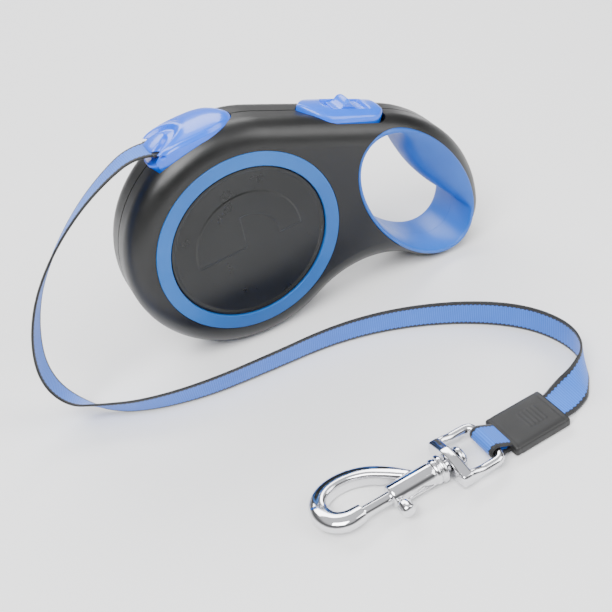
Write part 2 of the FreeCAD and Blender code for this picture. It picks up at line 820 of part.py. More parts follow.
def make_button():
    top = rounded_body(button_rise, half_depth + button_rise * 0.2, rim_fillet + 1.0)
    body = top.common(on_top_prism(button_plan(), -pocket_depth - 5, FAR / 4))
    rims = []
    for edge in body.Edges:
        points = edge.discretize(5)
        heights = [(p.sub(on_top(0, 0))).dot(OUTWARD) for p in points]
        if min(heights) > -0.2 and edge.Length > 3:
            rims.append(edge)
    body = body.makeFillet(button_edge, rims)
    body = body.cut(button_underside())
    well = tilted_box(well_start, well_start + well_length, -well_half_width, well_half_width,
                      button_rise - well_depth, FAR / 8)
    body = body.cut([well, button_spring_seat()])
    lug = rod(pin_r + lug_wall, -button_lug_half, button_lug_half, PIN)
    neck = tilted_box(pin_along - 2, pin_along + 2, -button_lug_half, button_lug_half, -pin_below, 0)
    body = body.fuse([lug, neck, brake_leg(0.0)]).removeSplitter()
    return body.cut(rod(pin_r + pin_fit, -FAR, FAR, PIN))


def make_slider():
    end = well_start + well_length - slider_gap
    start = end - slider_length
    floor = button_rise - well_depth + slider_floor_gap
    half = well_half_width - slider_gap
    plate = tilted_box(start, end, -half, half, floor, button_rise + slider_proud)
    fin_along = start + slider_fin_start
    fin = tilted_box(fin_along, fin_along + slider_fin_length, -half + slider_fin_inset,
                     half - slider_fin_inset, floor,
                     button_rise + slider_fin_height)
    body = plate.fuse(fin).removeSplitter()
    ribs = []
    for n in range(slider_rib_count):
        along = start + slider_rib_start + n * slider_rib_pitch
        ribs.append(tilted_box(along, along + slider_rib, -half + slider_rib_inset,
                               half - slider_rib_inset, floor, button_rise + slider_rib_height))
    body = body.fuse(ribs).removeSplitter()
    fin_top = button_rise + slider_fin_height
    tops = [e for e in body.Edges
            if min((p.sub(on_top(0, 0))).dot(OUTWARD) for p in e.discretize(3)) > fin_top - 0.1]
    return body.makeFillet(slider_fin_round, [e for e in tops if e.BoundBox.YLength > 2 * slider_fin_round])


def make_pawl():
    y0 = pawl_side - pawl_thick / 2
    y1 = pawl_side + pawl_thick / 2
    bar = pawl_box(pawl_tip, pawl_back, pawl_width / 2, y0, y1)
    shoulder = pawl_box(pawl_back - pawl_shoulder, pawl_back, pawl_shoulder_width / 2, y0, y1)
    return bar.fuse(shoulder).removeSplitter()


def coil(radius, height, turns, base, direction):
    """Coil spring with its ends on two planes."""
    pitch = (height - 2 * wire_r) / turns
    helix = Part.makeHelix(pitch, pitch * turns, radius)
    start = helix.Vertexes[0].Point
    section = Part.Wire([Part.Circle(start, Y_AXIS, wire_r).toShape()])
    solid = Part.Wire(helix).makePipeShell([section], True, True)
    solid.translate(Vector(0, 0, wire_r))
    turn = FreeCAD.Rotation(Z_AXIS, direction)
    solid.Placement = FreeCAD.Placement(base, turn).multiply(solid.Placement)
    return solid


def make_pawl_spring():
    start = guide_r + pawl_guide_thick
    length = pawl_back - pawl_shoulder - start
    away = polar(Vector(0, 0, 0), 1, pawl_direction)
    base = pawl_point(start + spring_end_gap, 0, pawl_side)
    return coil(pawl_spring_r, length - 2 * spring_end_gap, pawl_spring_turns, base, away)


def make_button_spring():
    return coil(button_spring_r, spring_room - spring_end_gap, button_spring_turns,
                on_top(button_spring_along, spring_lift - pocket_depth), OUTWARD)


# ---- free tape ------------------------------------------------------------------------------------
def route_wire(points):
    """Straight runs joined by tangent arcs. Returns the wire and each arc's radius."""
    points = [Vector(*p) for p in points]
    edges = []
    radii = []
    here = points[0]
    for before, corner, after in zip(points, points[1:], points[2:]):
        back = (before - corner)
        ahead = (after - corner)
        trim = 0.45 * min(back.Length, ahead.Length)
        a = back.getAngle(ahead)
        half_turn = (math.pi - a) / 2
        radii.append(trim / math.tan(half_turn))
        back.normalize()
        ahead.normalize()
        enter = corner + back * trim
        leave = corner + ahead * trim
        inwards = back + ahead
        inwards.normalize()
        middle = corner + inwards * (radii[-1] / math.cos(half_turn) - radii[-1])
        edges.append(Part.LineSegment(here, enter).toShape())
        edges.append(Part.Arc(enter, middle, leave).toShape())
        here = leave
    edges.append(Part.LineSegment(here, points[-1]).toShape())
    return Part.Wire(edges), radii


def edge_direction(fraction):
    """Direction across the tape at a fraction of its length."""
    lengths = [0.0]
    for a, b in zip(tape_route, tape_route[1:]):
        lengths.append(lengths[-1] + Vector(*b).sub(Vector(*a)).Length)
    place = fraction * lengths[-1]
    for n in range(len(tape_route) - 1):
        if place <= lengths[n + 1] + 1e-6:
            break
    t = (place - lengths[n]) / (lengths[n + 1] - lengths[n])
    return Vector(*tape_edge[n]) * (1 - t) + Vector(*tape_edge[n + 1]) * t


def make_free_tape():
    path, radii = route_wire(tape_route)
    steps = 3 * len(tape_route)
    points = path.discretize(Number=steps + 1)
    sections = []
    for n, point in enumerate(points):
        way = points[min(n + 1, steps)] - points[max(n - 1, 0)]
        way.normalize()
        across = edge_direction(n / steps)
        across = across - way * across.dot(way)
        across.normalize()
        thick = way.cross(across) * (tape_thick / 2)
        wide = across * (tape_width / 2)
        corners = [point + wide + thick, point - wide + thick, point - wide - thick, point + wide - thick]
        sections.append(Part.makePolygon(corners + [corners[0]]))
    tape = Part.makeLoft(sections, True, True)
    print("tape length", round(path.Length, 1), "radii", [round(r, 1) for r in radii])
    print("tape volume", round(tape.Volume))
    print("tape lowest point", min(((round(v.Z, 3), round(v.X, 1), round(v.Y, 1)) for v in tape.Vertexes)))
    return tape


# ---- sleeve, loop, swivel and snap -----------------------------------------------------------------
def place_lead(shape):
    """From the swivel bar's own frame to where the lead's end lies."""
    moved = shape.copy()
    moved.translate(Vector(0, 0, axis_height))
    moved.rotate(Vector(0, 0, 0), Z_AXIS, lead_turn)
    moved.translate(Vector(lead_x, lead_y, 0))
    return moved


def rolled(shape):
    """The snap lies with its hook on the ground, so it is rolled about its own axis."""
    moved = shape.copy()
    moved.rotate(Vector(0, 0, 0), X_AXIS, snap_roll)
    return place_lead(moved)


def x_rod(radius, x0, x1):
    return Part.makeCylinder(radius, x1 - x0, Vector(x0, 0, 0), X_AXIS)


def make_sleeve():
    half = sleeve_width / 2
    end = sleeve_start + sleeve_length
    body = block(sleeve_start, end, -half, half, -axis_height, -axis_height + sleeve_height)
    body = body.makeFillet(sleeve_round, [e for e in body.Edges if e.BoundBox.XLength > 1])
    body = body.makeFillet(0.8, [e for e in body.Edges if e.BoundBox.XLength < 1e-4])
    middle = -axis_height + sleeve_height / 2
    slot = block(sleeve_start - 1, end + 1, -sleeve_slot_width / 2, sleeve_slot_width / 2,
                 middle - sleeve_slot_height / 2, middle + sleeve_slot_height / 2)
    return place_lead(body.cut(slot))


def touch_point(radius, point, side):
    """Where a line from the point touches a circle about the bar, above it (1) or below it (-1)."""
    turn = math.degrees(math.acos(radius / point.Length))
    return polar(Vector(0, 0, 0), radius, direction_to(Vector(0, 0, 0), point) + side * turn)


def make_loop():
    """Tape end sewn back on itself round the swivel's bar; both layers run into the sleeve."""
    inner = bar_r + loop_gap
    outer = inner + tape_thick
    tail = sleeve_start + loop_tail
    middle = -axis_height + sleeve_height / 2
    top_join = Vector(sleeve_start - 0.5, 0, middle + tape_thick)
    low_join = Vector(sleeve_start - 0.5, 0, middle - tape_thick)
    mid_join = Vector(sleeve_start - 0.5, 0, middle)
    outer_top = touch_point(outer, top_join, 1)
    outer_low = touch_point(outer, low_join, -1)
    inner_top = touch_point(inner, mid_join, 1)
    inner_low = touch_point(inner, mid_join, -1)
    outer_wire = [
        Part.Arc(outer_top, Vector(-outer, 0, 0), outer_low).toShape(),
        Part.makeLine(outer_low, low_join),
        Part.makeLine(low_join, Vector(tail, 0, low_join.z)),
        Part.makeLine(Vector(tail, 0, low_join.z), Vector(tail, 0, top_join.z)),
        Part.makeLine(Vector(tail, 0, top_join.z), top_join),
        Part.makeLine(top_join, outer_top),
    ]
    inner_wire = [
        Part.Arc(inner_top, Vector(-inner, 0, 0), inner_low).toShape(),
        Part.makeLine(inner_low, mid_join),
        Part.makeLine(mid_join, inner_top),
    ]
    face = Part.Face(Part.Wire(outer_wire)).cut(Part.Face(Part.Wire(inner_wire)))
    return place_lead(prism(face, -tape_width / 2, tape_width / 2))


def make_swivel_frame():
    arm_y = frame_width / 2 - bar_r
    back = -frame_plate_start
    front = back - plate_thick
    plate = block(front, back, -frame_width / 2, frame_width / 2, -plate_height / 2, plate_height / 2)
    plate = plate.makeFillet(plate_round, [e for e in plate.Edges if e.BoundBox.XLength > 1])
    bend = 3.0
    corner = bend * (1 - math.sqrt(0.5))
    half = [
        Part.LineSegment(Vector(back - 1, arm_y, 0), Vector(-bend, arm_y, 0)),
        Part.Arc(Vector(-bend, arm_y, 0), Vector(-corner, arm_y - corner, 0), Vector(0, arm_y - bend, 0)),
        Part.LineSegment(Vector(0, arm_y - bend, 0), Vector(0, bend - arm_y, 0)),
        Part.Arc(Vector(0, bend - arm_y, 0), Vector(-corner, corner - arm_y, 0), Vector(-bend, -arm_y, 0)),
        Part.LineSegment(Vector(-bend, -arm_y, 0), Vector(back - 1, -arm_y, 0)),
    ]
    path = Part.Wire([e.toShape() for e in half])
    section = Part.Wire([Part.Circle(Vector(back - 1, arm_y, 0), X_AXIS, bar_r).toShape()])
    bow = path.makePipeShell([section], True, False)
    frame = plate.fuse(bow).removeSplitter()
    frame = frame.cut(x_rod(post_r + post_fit, front - 1, back + 1))
    return place_lead(frame)


def snap_axis_places():
    """Where the snap's parts start along its axis, going away from the sleeve."""
    plate_front = -frame_plate_start - plate_thick
    collar_back = plate_front - collar_gap
    barrel_back = collar_back - collar_length
    barrel_front = barrel_back - barrel_length
    return plate_front, collar_back, barrel_back, barrel_front


def make_snap_body():
    plate_front, collar_back, barrel_back, barrel_front = snap_axis_places()
    head_front = -frame_plate_start + post_head_gap
    post = x_rod(post_r, collar_back, head_front + 1)
    head = x_rod(post_head_r, head_front, head_front + post_head)
    head = head.makeFillet(0.6, [e for e in head.Edges if e.BoundBox.XMin > head_front + post_head - 0.1])
    collar = x_rod(collar_r, collar_back - collar_length, collar_back)
    collar = collar.makeFillet(0.7, [e for e in collar.Edges if len(e.Vertexes) == 1])
    barrel = x_rod(barrel_r, barrel_front, barrel_back + 0.5)
    barrel = barrel.makeFillet(0.5, [e for e in barrel.Edges if e.BoundBox.XMax < barrel_front + 0.1])
    tip = barrel_front - bolt_reach - bolt_seat_gap
    bend_x = tip - hook_end_length
    bend_top = Vector(bend_x, 2 * hook_bend_r, 0)
    back_centre = bend_top - Vector(0, hook_back_r, 0)
    a = math.radians(90 - hook_back_turn)
    b = math.radians(90 - hook_back_turn / 2)
    root = back_centre + Vector(math.cos(a), math.sin(a), 0) * hook_back_r
    mid = back_centre + Vector(math.cos(b), math.sin(b), 0) * hook_back_r
    path = Part.Wire([
        Part.makeLine(Vector(tip, 0, 0), Vector(bend_x, 0, 0)),
        Part.Arc(Vector(bend_x, 0, 0), Vector(bend_x - hook_bend_r, hook_bend_r, 0), bend_top).toShape(),
        Part.Arc(bend_top, mid, root).toShape(),
    ])
    ellipse = Part.Ellipse(Vector(0, 0, 0), hook_half_width, hook_half_height)
    section = Part.Wire([ellipse.toShape()])
    section.rotate(Vector(0, 0, 0), X_AXIS, 90)
    section.rotate(Vector(0, 0, 0), Z_AXIS, 90)
    section.translate(Vector(tip, 0, 0))
    hook = path.makePipeShell([section], True, False)
    body = post.fuse([head, collar, barrel, hook]).removeSplitter()
    bore_end = barrel_front + bolt_tail + bolt_travel + bolt_spring_room
    bore = x_rod(bolt_r + bolt_fit, barrel_front - 1, bore_end)
    slot_end = barrel_front + bolt_travel + knob_neck_r + knob_neck_gap + knob_back
    slot = block(barrel_front - 1, slot_end, -barrel_r - 2, 0,
                 -knob_neck_r - knob_neck_gap, knob_neck_r + knob_neck_gap)
    return rolled(largest(body.cut([bore, slot])))


def make_snap_bolt():
    barrel_front = snap_axis_places()[-1]
    tip = barrel_front - bolt_reach
    bolt = x_rod(bolt_r, tip, barrel_front + bolt_tail)
    bolt = bolt.makeFillet(bolt_round, [e for e in bolt.Edges if len(e.Vertexes) == 1])
    place = Vector(barrel_front + knob_back, 0, 0)
    neck = Part.makeCylinder(knob_neck_r, knob_height - knob_neck_inset, place, Vector(0, -1, 0))
    start = place - Vector(0, barrel_r + knob_clear, 0)
    knob = Part.makeCylinder(knob_r, knob_height - barrel_r - knob_clear, start, Vector(0, -1, 0))
    ends = [e for e in knob.Edges if len(e.Vertexes) == 1 and e.BoundBox.YMax < start.y - 1]
    knob = knob.makeFillet(knob_round, ends)
    return rolled(bolt.fuse([neck, knob]).removeSplitter())


def make_bolt_spring():
    barrel_front = snap_axis_places()[-1]
    start = barrel_front + bolt_tail
    end = barrel_front + bolt_tail + bolt_travel + bolt_spring_room
    spring = coil(bolt_r - 2 * wire_r, end - start - 2 * spring_end_gap, bolt_spring_turns,
                  Vector(start + spring_end_gap, 0, 0), X_AXIS)
    return rolled(spring)


# ---- build ----------------------------------------------------------------------------------------
def main():
    os.makedirs("parts", exist_ok=True)
    near_shell, far_shell = make_casing()
    save("near_shell", near_shell)
    save("far_shell", far_shell)
    far_lining = make_lining()
    save("far_grip_lining", far_lining)
    save("near_grip_lining", both_sides(far_lining))
    for name, side in (("near", -1), ("far", 1)):
        inlay, disc = make_trim(side)
        save(name + "_ring_inlay", inlay)
        save(name + "_side_disc", disc)
    save("drum", make_drum())
    save("drum_end_plate", make_end_plate())
    save("drum_screws", make_drum_screws())
    save("spring_cover", make_spring_cover())
    save("power_spring", spiral_strip())
    save("wound_tape", ring(pack_r, hub_r, -tape_width / 2, tape_width / 2, DRUM))
    save("far_bush", make_bush(web_start, flange_face))
    save("near_bush", both_sides(make_bush(drum_half, flange_face)))
    save("axle", make_axle())
    save("axle_screw", make_axle_screw())
    save("casing_screws", make_casing_screws())
    save("tape_lead", make_tape_lead())
    save("tape_outlet", make_nozzle())
    save("brake_button", make_button())
    save("button_pin", rod(pin_r, -pin_half_length, pin_half_length, PIN))
    save("button_spring", make_button_spring())
    save("lock_slider", make_slider())
    save("brake_pawl", make_pawl())
    save("pawl_spring", make_pawl_spring())
    save("free_tape", make_free_tape())
    save("tape_sleeve", make_sleeve())
    save("tape_loop", make_loop())
    save("swivel_frame", make_swivel_frame())
    save("snap_body", make_snap_body())
    save("snap_bolt", make_snap_bolt())
    save("snap_bolt_spring", make_bolt_spring())
    print("frame shift", round(frame_shift, 3), "pack radius", round(pack_r, 2))


main()
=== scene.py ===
import json
import math

import bpy
from mathutils import Matrix, Vector


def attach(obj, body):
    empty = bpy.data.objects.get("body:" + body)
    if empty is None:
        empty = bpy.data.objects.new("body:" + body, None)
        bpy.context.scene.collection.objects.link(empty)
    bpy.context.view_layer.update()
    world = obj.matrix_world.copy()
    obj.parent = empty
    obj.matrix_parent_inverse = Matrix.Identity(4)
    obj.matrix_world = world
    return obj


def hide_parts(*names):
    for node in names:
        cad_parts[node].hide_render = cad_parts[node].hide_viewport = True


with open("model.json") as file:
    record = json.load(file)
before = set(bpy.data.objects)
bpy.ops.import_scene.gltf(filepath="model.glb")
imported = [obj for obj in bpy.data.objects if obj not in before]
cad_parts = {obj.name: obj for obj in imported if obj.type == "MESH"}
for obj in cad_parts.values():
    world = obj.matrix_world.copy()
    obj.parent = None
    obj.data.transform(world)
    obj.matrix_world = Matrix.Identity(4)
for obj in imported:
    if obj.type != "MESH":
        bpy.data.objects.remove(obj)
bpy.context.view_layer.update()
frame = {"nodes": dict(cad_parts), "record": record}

MM = 0.001
SHIFT = -34.25                       # drum axis along X, from the frame's origin
DRUM = Vector((SHIFT, 0, 56.4))      # drum axis, millimetres
NODES = frame["nodes"]


# ---- camera ----------------------------------------------------------------------------------------
def make_camera():
    data = bpy.data.cameras.new("view_camera")
    data.sensor_width = 36.0
    data.lens = 57.06
    data.clip_start = 0.02
    data.clip_end = 20
    camera = bpy.data.objects.new("view_camera", data)
    right = Vector((0.8805, -0.446, -0.1613)).normalized()
    back = Vector((-0.2566, -0.735, 0.627)).normalized()
    up = back.cross(right).normalized()
    right = up.cross(back)
    turn = Matrix((right, up, back)).transposed().to_4x4()
    camera.matrix_world = Matrix.Translation(Vector((-136.55, -365.9, 306.8)) * MM) @ turn
    bpy.context.scene.collection.objects.link(camera)
    bpy.context.scene.camera = camera


# ---- node helpers ----------------------------------------------------------------------------------
class Nodes:
    """A material's node tree, with short calls for the few kinds of node used here."""

    def __init__(self, name):
        self.material = bpy.data.materials.new(name)
        self.material.use_nodes = True
        self.tree = self.material.node_tree
        self.shader = self.tree.nodes["Principled BSDF"]
        self.place = self.tree.nodes.new("ShaderNodeTexCoord")

    def link(self, out, into):
        self.tree.links.new(out, into)

    def put(self, value, socket):
        if isinstance(value, (int, float, tuple, list)):
            socket.default_value = value
        else:
            self.link(value, socket)

    def math(self, kind, a, b=0.0, c=0.0):
        node = self.tree.nodes.new("ShaderNodeMath")
        node.operation = kind
        self.put(a, node.inputs[0])
        self.put(b, node.inputs[1])
        self.put(c, node.inputs[2])
        return node.outputs[0]

    def noise(self, scale, detail=3.0, rough=0.55, stretch=(1, 1, 1), source="Object"):
        mapping = self.tree.nodes.new("ShaderNodeMapping")
        mapping.inputs["Scale"].default_value = stretch
        self.link(self.place.outputs[source], mapping.inputs["Vector"])
        node = self.tree.nodes.new("ShaderNodeTexNoise")
        node.inputs["Scale"].default_value = scale
        node.inputs["Detail"].default_value = detail
        node.inputs["Roughness"].default_value = rough
        self.link(mapping.outputs["Vector"], node.inputs["Vector"])
        return node.outputs["Fac"]

    def span(self, value, low, high, new_low, new_high):
        node = self.tree.nodes.new("ShaderNodeMapRange")
        self.put(value, node.inputs["Value"])
        node.inputs["From Min"].default_value = low
        node.inputs["From Max"].default_value = high
        node.inputs["To Min"].default_value = new_low
        node.inputs["To Max"].default_value = new_high
        return node.outputs["Result"]

    def mix(self, factor, a, b):
        node = self.tree.nodes.new("ShaderNodeMix")
        node.data_type = "RGBA"
        self.put(factor, node.inputs["Factor"])
        for value, socket in ((a, node.inputs[6]), (b, node.inputs[7])):
            self.put(tuple(value) + (1.0,) if isinstance(value, tuple) and len(value) == 3 else value, socket)
        return node.outputs[2]

    def bump(self, height, strength, distance):
        node = self.tree.nodes.new("ShaderNodeBump")
        node.inputs["Strength"].default_value = strength
        node.inputs["Distance"].default_value = distance
        self.link(height, node.inputs["Height"])
        self.link(node.outputs["Normal"], self.shader.inputs["Normal"])

    def set(self, **sockets):
        for name, value in sockets.items():
            self.put(value, self.shader.inputs[name.replace("_", " ")])


def plastic(name, dark, light, rough, grain=2600.0, grain_depth=0.00002, coat=0.0, coat_rough=0.1, sheen=0.0):
    """Moulded plastic: slow colour drift, fine spark-eroded grain and uneven gloss."""
    n = Nodes(name)
    drift = n.noise(22.0, 4.0)
    n.set(Base_Color=n.mix(n.span(drift, 0.35, 0.65, 0, 1), dark, light))
    smudge = n.noise(55.0, 5.0, 0.6)
    n.set(Roughness=n.span(smudge, 0.3, 0.7, rough - 0.05, rough + 0.07))
    n.set(Coat_Weight=coat, Coat_Roughness=coat_rough, Sheen_Weight=sheen, Sheen_Roughness=0.4)
    n.bump(n.noise(grain, 2.0), 0.35, grain_depth)
    return n.material


def metal(name, colour, rough, stretch=(1, 1, 1), scratch=900.0, depth=0.000008):
    """Metal with fine rub marks in its gloss and its surface."""
    n = Nodes(name)
    tone = n.noise(40.0, 3.0)
    darker = tuple(c * 0.9 for c in colour)
    n.set(Base_Color=n.mix(n.span(tone, 0.35, 0.65, 0, 1), darker, colour), Metallic=1.0)
    marks = n.noise(scratch, 4.0, 0.7, stretch)
    n.set(Roughness=n.span(marks, 0.35, 0.75, rough * 0.7, rough * 1.5))
    n.bump(marks, 0.25, depth)
    return n.material


def webbing(name, blue_low, blue_high, black, edge_share, rib_pitch):
    """Woven tape: UV gives metres along it, and 0 to 1 across it."""
    n = Nodes(name)
    split = n.tree.nodes.new("ShaderNodeSeparateXYZ")
    n.link(n.place.outputs["UV"], split.inputs[0])
    along, across = split.outputs[0], split.outputs[1]
    rib = n.math("SINE", n.math("MULTIPLY", along, 2 * math.pi / rib_pitch))
    yarn = n.math("SINE", n.math("MULTIPLY", across, 2 * math.pi * 34))
    weave = n.math("MULTIPLY", rib, yarn)
    step = n.math("SINE", n.math("MULTIPLY", along, math.pi / rib_pitch))
    tooth = n.math("MULTIPLY", n.math("SIGN", step), 0.012)
    inward = n.math("SUBTRACT", 0.5, n.math("ABSOLUTE", n.math("SUBTRACT", across, 0.5)))
    border = n.math("LESS_THAN", n.math("ADD", inward, tooth), edge_share)
    fibre = n.noise(1.0, 3.0, 0.6, (9000, 60, 1), "UV")
    slow = n.noise(45.0, 3.0)
    tone = n.math("ADD", n.math("MULTIPLY", n.math("ADD", rib, weave), 0.2), n.math("MULTIPLY", fibre, 0.7))
    tone = n.math("ADD", tone, n.math("MULTIPLY", slow, 0.35))
    blue = n.mix(n.span(tone, 0.05, 0.95, 0, 1), blue_low, blue_high)
    dark = n.mix(n.span(tone, 0.05, 0.95, 0, 1), black, tuple(c * 2.6 + 0.004 for c in black))
    n.set(Base_Color=n.mix(border, blue, dark))
    n.set(Roughness=n.span(fibre, 0.3, 0.7, 0.55, 0.75), Sheen_Weight=0.25, Sheen_Roughness=0.45)
    height = n.math("ADD", n.math("MULTIPLY", weave, 0.5), n.math("MULTIPLY", fibre, 0.6))
    n.bump(height, 0.5, 0.00008)
    return n.material


# ---- mesh helpers ----------------------------------------------------------------------------------
def new_piece(name, verts, faces, material, body, replaced=(), smooth=True, sharp_turn=None):
    """A mesh in millimetres, made into a piece that rides on a body."""
    mesh = bpy.data.meshes.new(name)
    mesh.from_pydata([tuple(Vector(v) * MM) for v in verts], [], faces)
    mesh.validate()
    mesh.materials.append(material)
    if smooth:
        mesh.polygons.foreach_set("use_smooth", [True] * len(mesh.polygons))
    if sharp_turn is not None:
        mesh.set_sharp_from_angle(angle=math.radians(sharp_turn))
    piece = bpy.data.objects.new(name, mesh)
    bpy.context.scene.collection.objects.link(piece)
    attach(piece, body)
    if replaced:
        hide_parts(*replaced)
    return piece


def grid_faces(rows, columns, around=True, along=False):
    """Quads of a grid of points, closed round its rows, and if asked along its columns."""
    faces = []
    for r in range(rows if along else rows - 1):
        for c in range(columns if around else columns - 1):
            r2 = (r + 1) % rows
            c2 = (c + 1) % columns
            faces.append((r * columns + c, r * columns + c2, r2 * columns + c2, r2 * columns + c))
    return faces


def read_spline(points, resolution=48):
    """Points along the NURBS spline of the given points, as Blender draws it."""
    curve = bpy.data.curves.new("reader", "CURVE")
    curve.dimensions = "3D"
    curve.resolution_u = resolution
    spline = curve.splines.new("NURBS")
    spline.points.add(len(points) - 1)
    for place, point in zip(spline.points, points):
        place.co = (*point, 1.0)
    spline.order_u = 3
    spline.use_endpoint_u = True
    holder = bpy.data.objects.new("reader", curve)
    bpy.context.scene.collection.objects.link(holder)
    mesh = bpy.data.meshes.new_from_object(holder)
    places = [v.co.copy() for v in mesh.vertices]
    bpy.data.objects.remove(holder)
    bpy.data.curves.remove(curve)
    bpy.data.meshes.remove(mesh)
    return places


def even_spacing(path, partners, gap):
    """Points at even distances along a path, each with its share of the partner vectors."""
    travelled = [0.0]
    for a, b in zip(path, path[1:]):
        travelled.append(travelled[-1] + (b - a).length)
    count = max(2, round(travelled[-1] / gap))
    result = []
    i = 0
    for k in range(count + 1):
        goal = travelled[-1] * k / count
        while i < len(path) - 2 and travelled[i + 1] < goal:
            i += 1
        share = (goal - travelled[i]) / max(travelled[i + 1] - travelled[i], 1e-9)
        share = min(max(share, 0.0), 1.0)
        result.append((path[i].lerp(path[i + 1], share), partners[i].lerp(partners[i + 1], share), goal))
    return result


# ---- tape ------------------------------------------------------------------------------------------
TAPE_WIDTH = 15.0
TAPE_THICK = 1.1
RIB_PITCH = 1.0
TAPE_ROUTE = [
    (-29.5, 0, 110.3), (-37, 0, 111.6), (-50, -0.5, 106.5), (-66, -1.3, 96.8), (-82, -2.4, 82.5),
    (-95.5, -4, 65.5), (-104, -6.5, 46), (-106.5, -8, 27), (-101, -11.5, 12.1), (-89, -20, 6.5),
    (-72, -31.8, 7.2), (-45, -39.5, 7.6), (-12, -41.5, 7.7), (22, -42.3, 7.7), (52, -50.8, 7.7),
    (80, -67, 7.7), (99, -86, 7.7), (106.8, -107, 7.7), (103, -123, 7.7), (92, -132.2, 6.9),
    (84.5, -133.7, 4.1), (78.5, -134.7, 2.8), (74, -135.1, 2.6),
]
TAPE_EDGE = [
    (0, -1, 0), (0, -1, 0.12), (-0.1, -1, 0.2), (-0.2, -0.95, 0.25), (-0.3, -0.91, 0.28),
    (-0.38, -0.9, 0.22), (-0.45, -0.88, 0.1), (-0.38, -0.92, 0), (-0.1, -0.95, 0.1), (0.15, -0.72, 0.68),
    (0.1, -0.48, 0.87), (0, -0.32, 0.95), (0, -0.29, 0.96), (0, -0.22, 0.98), (0, -0.15, 0.99),
    (0, -0.08, 1), (0, -0.03, 1), (0, 0.02, 1), (0, 0.25, 0.97), (0, 0.6, 0.8),
    (0, 0.85, 0.52), (-0.05, 1, 0.08), (-0.05, 1, 0),
]


def tape_section(rib):
    """Half a turn of the tape's section, as (across, thickness) pairs: ribbed middle, rolled selvedge."""
    steps = 16
    top = []
    for i in range(steps + 1):
        u = -1 + 2 * i / steps
        inward = 1 - abs(u)
        bead = 0.10 * math.exp(-((inward - 0.1) / 0.07) ** 2)
        fall = math.sqrt(min(1.0, inward / 0.05)) if inward < 0.05 else 1.0
        top.append((u * TAPE_WIDTH / 2, fall * (TAPE_THICK / 2 - 0.08 + bead + 0.05 * rib)))
    return top


def ribbon(name, samples, material, body, replaced=()):
    """A woven ribbon through samples of (place, edge direction, distance), with its UV in metres along it."""
    verts = []
    around = 0
    for k, (place, edge, goal) in enumerate(samples):
        before = samples[max(k - 1, 0)][0]
        after = samples[min(k + 1, len(samples) - 1)][0]
        way = (after - before).normalized()
        side = (edge - way * edge.dot(way)).normalized()
        face = way.cross(side)
        rib = math.sin(2 * math.pi * goal / RIB_PITCH)
        top = tape_section(rib)
        low = tape_section(-rib)
        loop = [place + side * a + face * t for a, t in top]
        loop += [place + side * a - face * t for a, t in reversed(low[1:-1])]
        around = len(loop)
        verts += loop
    faces = grid_faces(len(samples), around)
    faces.append(tuple(reversed(range(around))))
    faces.append(tuple((len(samples) - 1) * around + c for c in range(around)))
    piece = new_piece(name, verts, faces, material, body, replaced)
    layer = piece.data.uv_layers.new(name="weave")
    goals = [s[2] * MM for s in samples]
    for polygon in piece.data.polygons:
        for loop_index in polygon.loop_indices:
            vert = piece.data.loops[loop_index].vertex_index
            column = vert % around
            across = column if column <= 16 else around - column
            layer.data[loop_index].uv = (goals[vert // around], across / 16)
    return piece


def make_free_tape(material):
    shift = Vector((SHIFT, 0, 0))
    path = read_spline([Vector(p) + shift for p in TAPE_ROUTE])
    edges = read_spline(TAPE_EDGE)
    samples = even_spacing(path, edges, RIB_PITCH / 4)
    piece = ribbon("tape_webbing", samples, material, "casing", ("free_tape",))
    return piece, [tuple(s[0] * MM) for s in samples[::12]] + [tuple(samples[-1][0] * MM)]


# ---- soft solids: closed shapes joined on a fine voxel grid, then smoothed ---------------------------
def loft(sections, close_ends=True):
    """A closed shape through rings of points, one ring per section."""
    around = len(sections[0])
    verts = [p for ring in sections for p in ring]
    faces = grid_faces(len(sections), around)
    if close_ends:
        faces.append(tuple(reversed(range(around))))
        faces.append(tuple((len(sections) - 1) * around + c for c in range(around)))
    return verts, faces


def lathe(profile, segments=64, centre=(0, 0)):
    """A solid turned about the X axis from (x, radius) pairs."""
    sections = []
    for x, radius in profile:
        ring = []
        for k in range(segments):
            a = 2 * math.pi * k / segments
            ring.append(Vector((x, centre[0] + radius * math.cos(a), centre[1] + radius * math.sin(a))))
        sections.append(ring)
    return loft(sections)


def slab(x0, x1, y0, y1, z0, z1):
    ends = [[Vector((x, y0, z0)), Vector((x, y1, z0)), Vector((x, y1, z1)), Vector((x, y0, z1))] for x in (x0, x1)]
    return loft(ends)


def oval_tube(path, sizes, up, power=2.0, segments=32):
    """A tube along a path of points in a plane; sizes gives (half width, half height) at each point."""
    sections = []
    for k, place in enumerate(path):
        way = (path[min(k + 1, len(path) - 1)] - path[max(k - 1, 0)]).normalized()
        side = up.cross(way).normalized()
        wide, high = sizes[k]
        ring = []
        for i in range(segments):
            a = 2 * math.pi * i / segments
            c, s = math.cos(a), math.sin(a)
            u = math.copysign(abs(c) ** (2 / power), c)
            v = math.copysign(abs(s) ** (2 / power), s)
            ring.append(place + side * (wide * u) + up * (high * v))
        sections.append(ring)
    return loft(sections)


def fused(parts):
    """Several closed shapes as one list of vertices and faces."""
    verts, faces = [], []
    for part_verts, part_faces in parts:
        base = len(verts)
        verts += part_verts
        faces += [tuple(i + base for i in face) for face in part_faces]
    return verts, faces


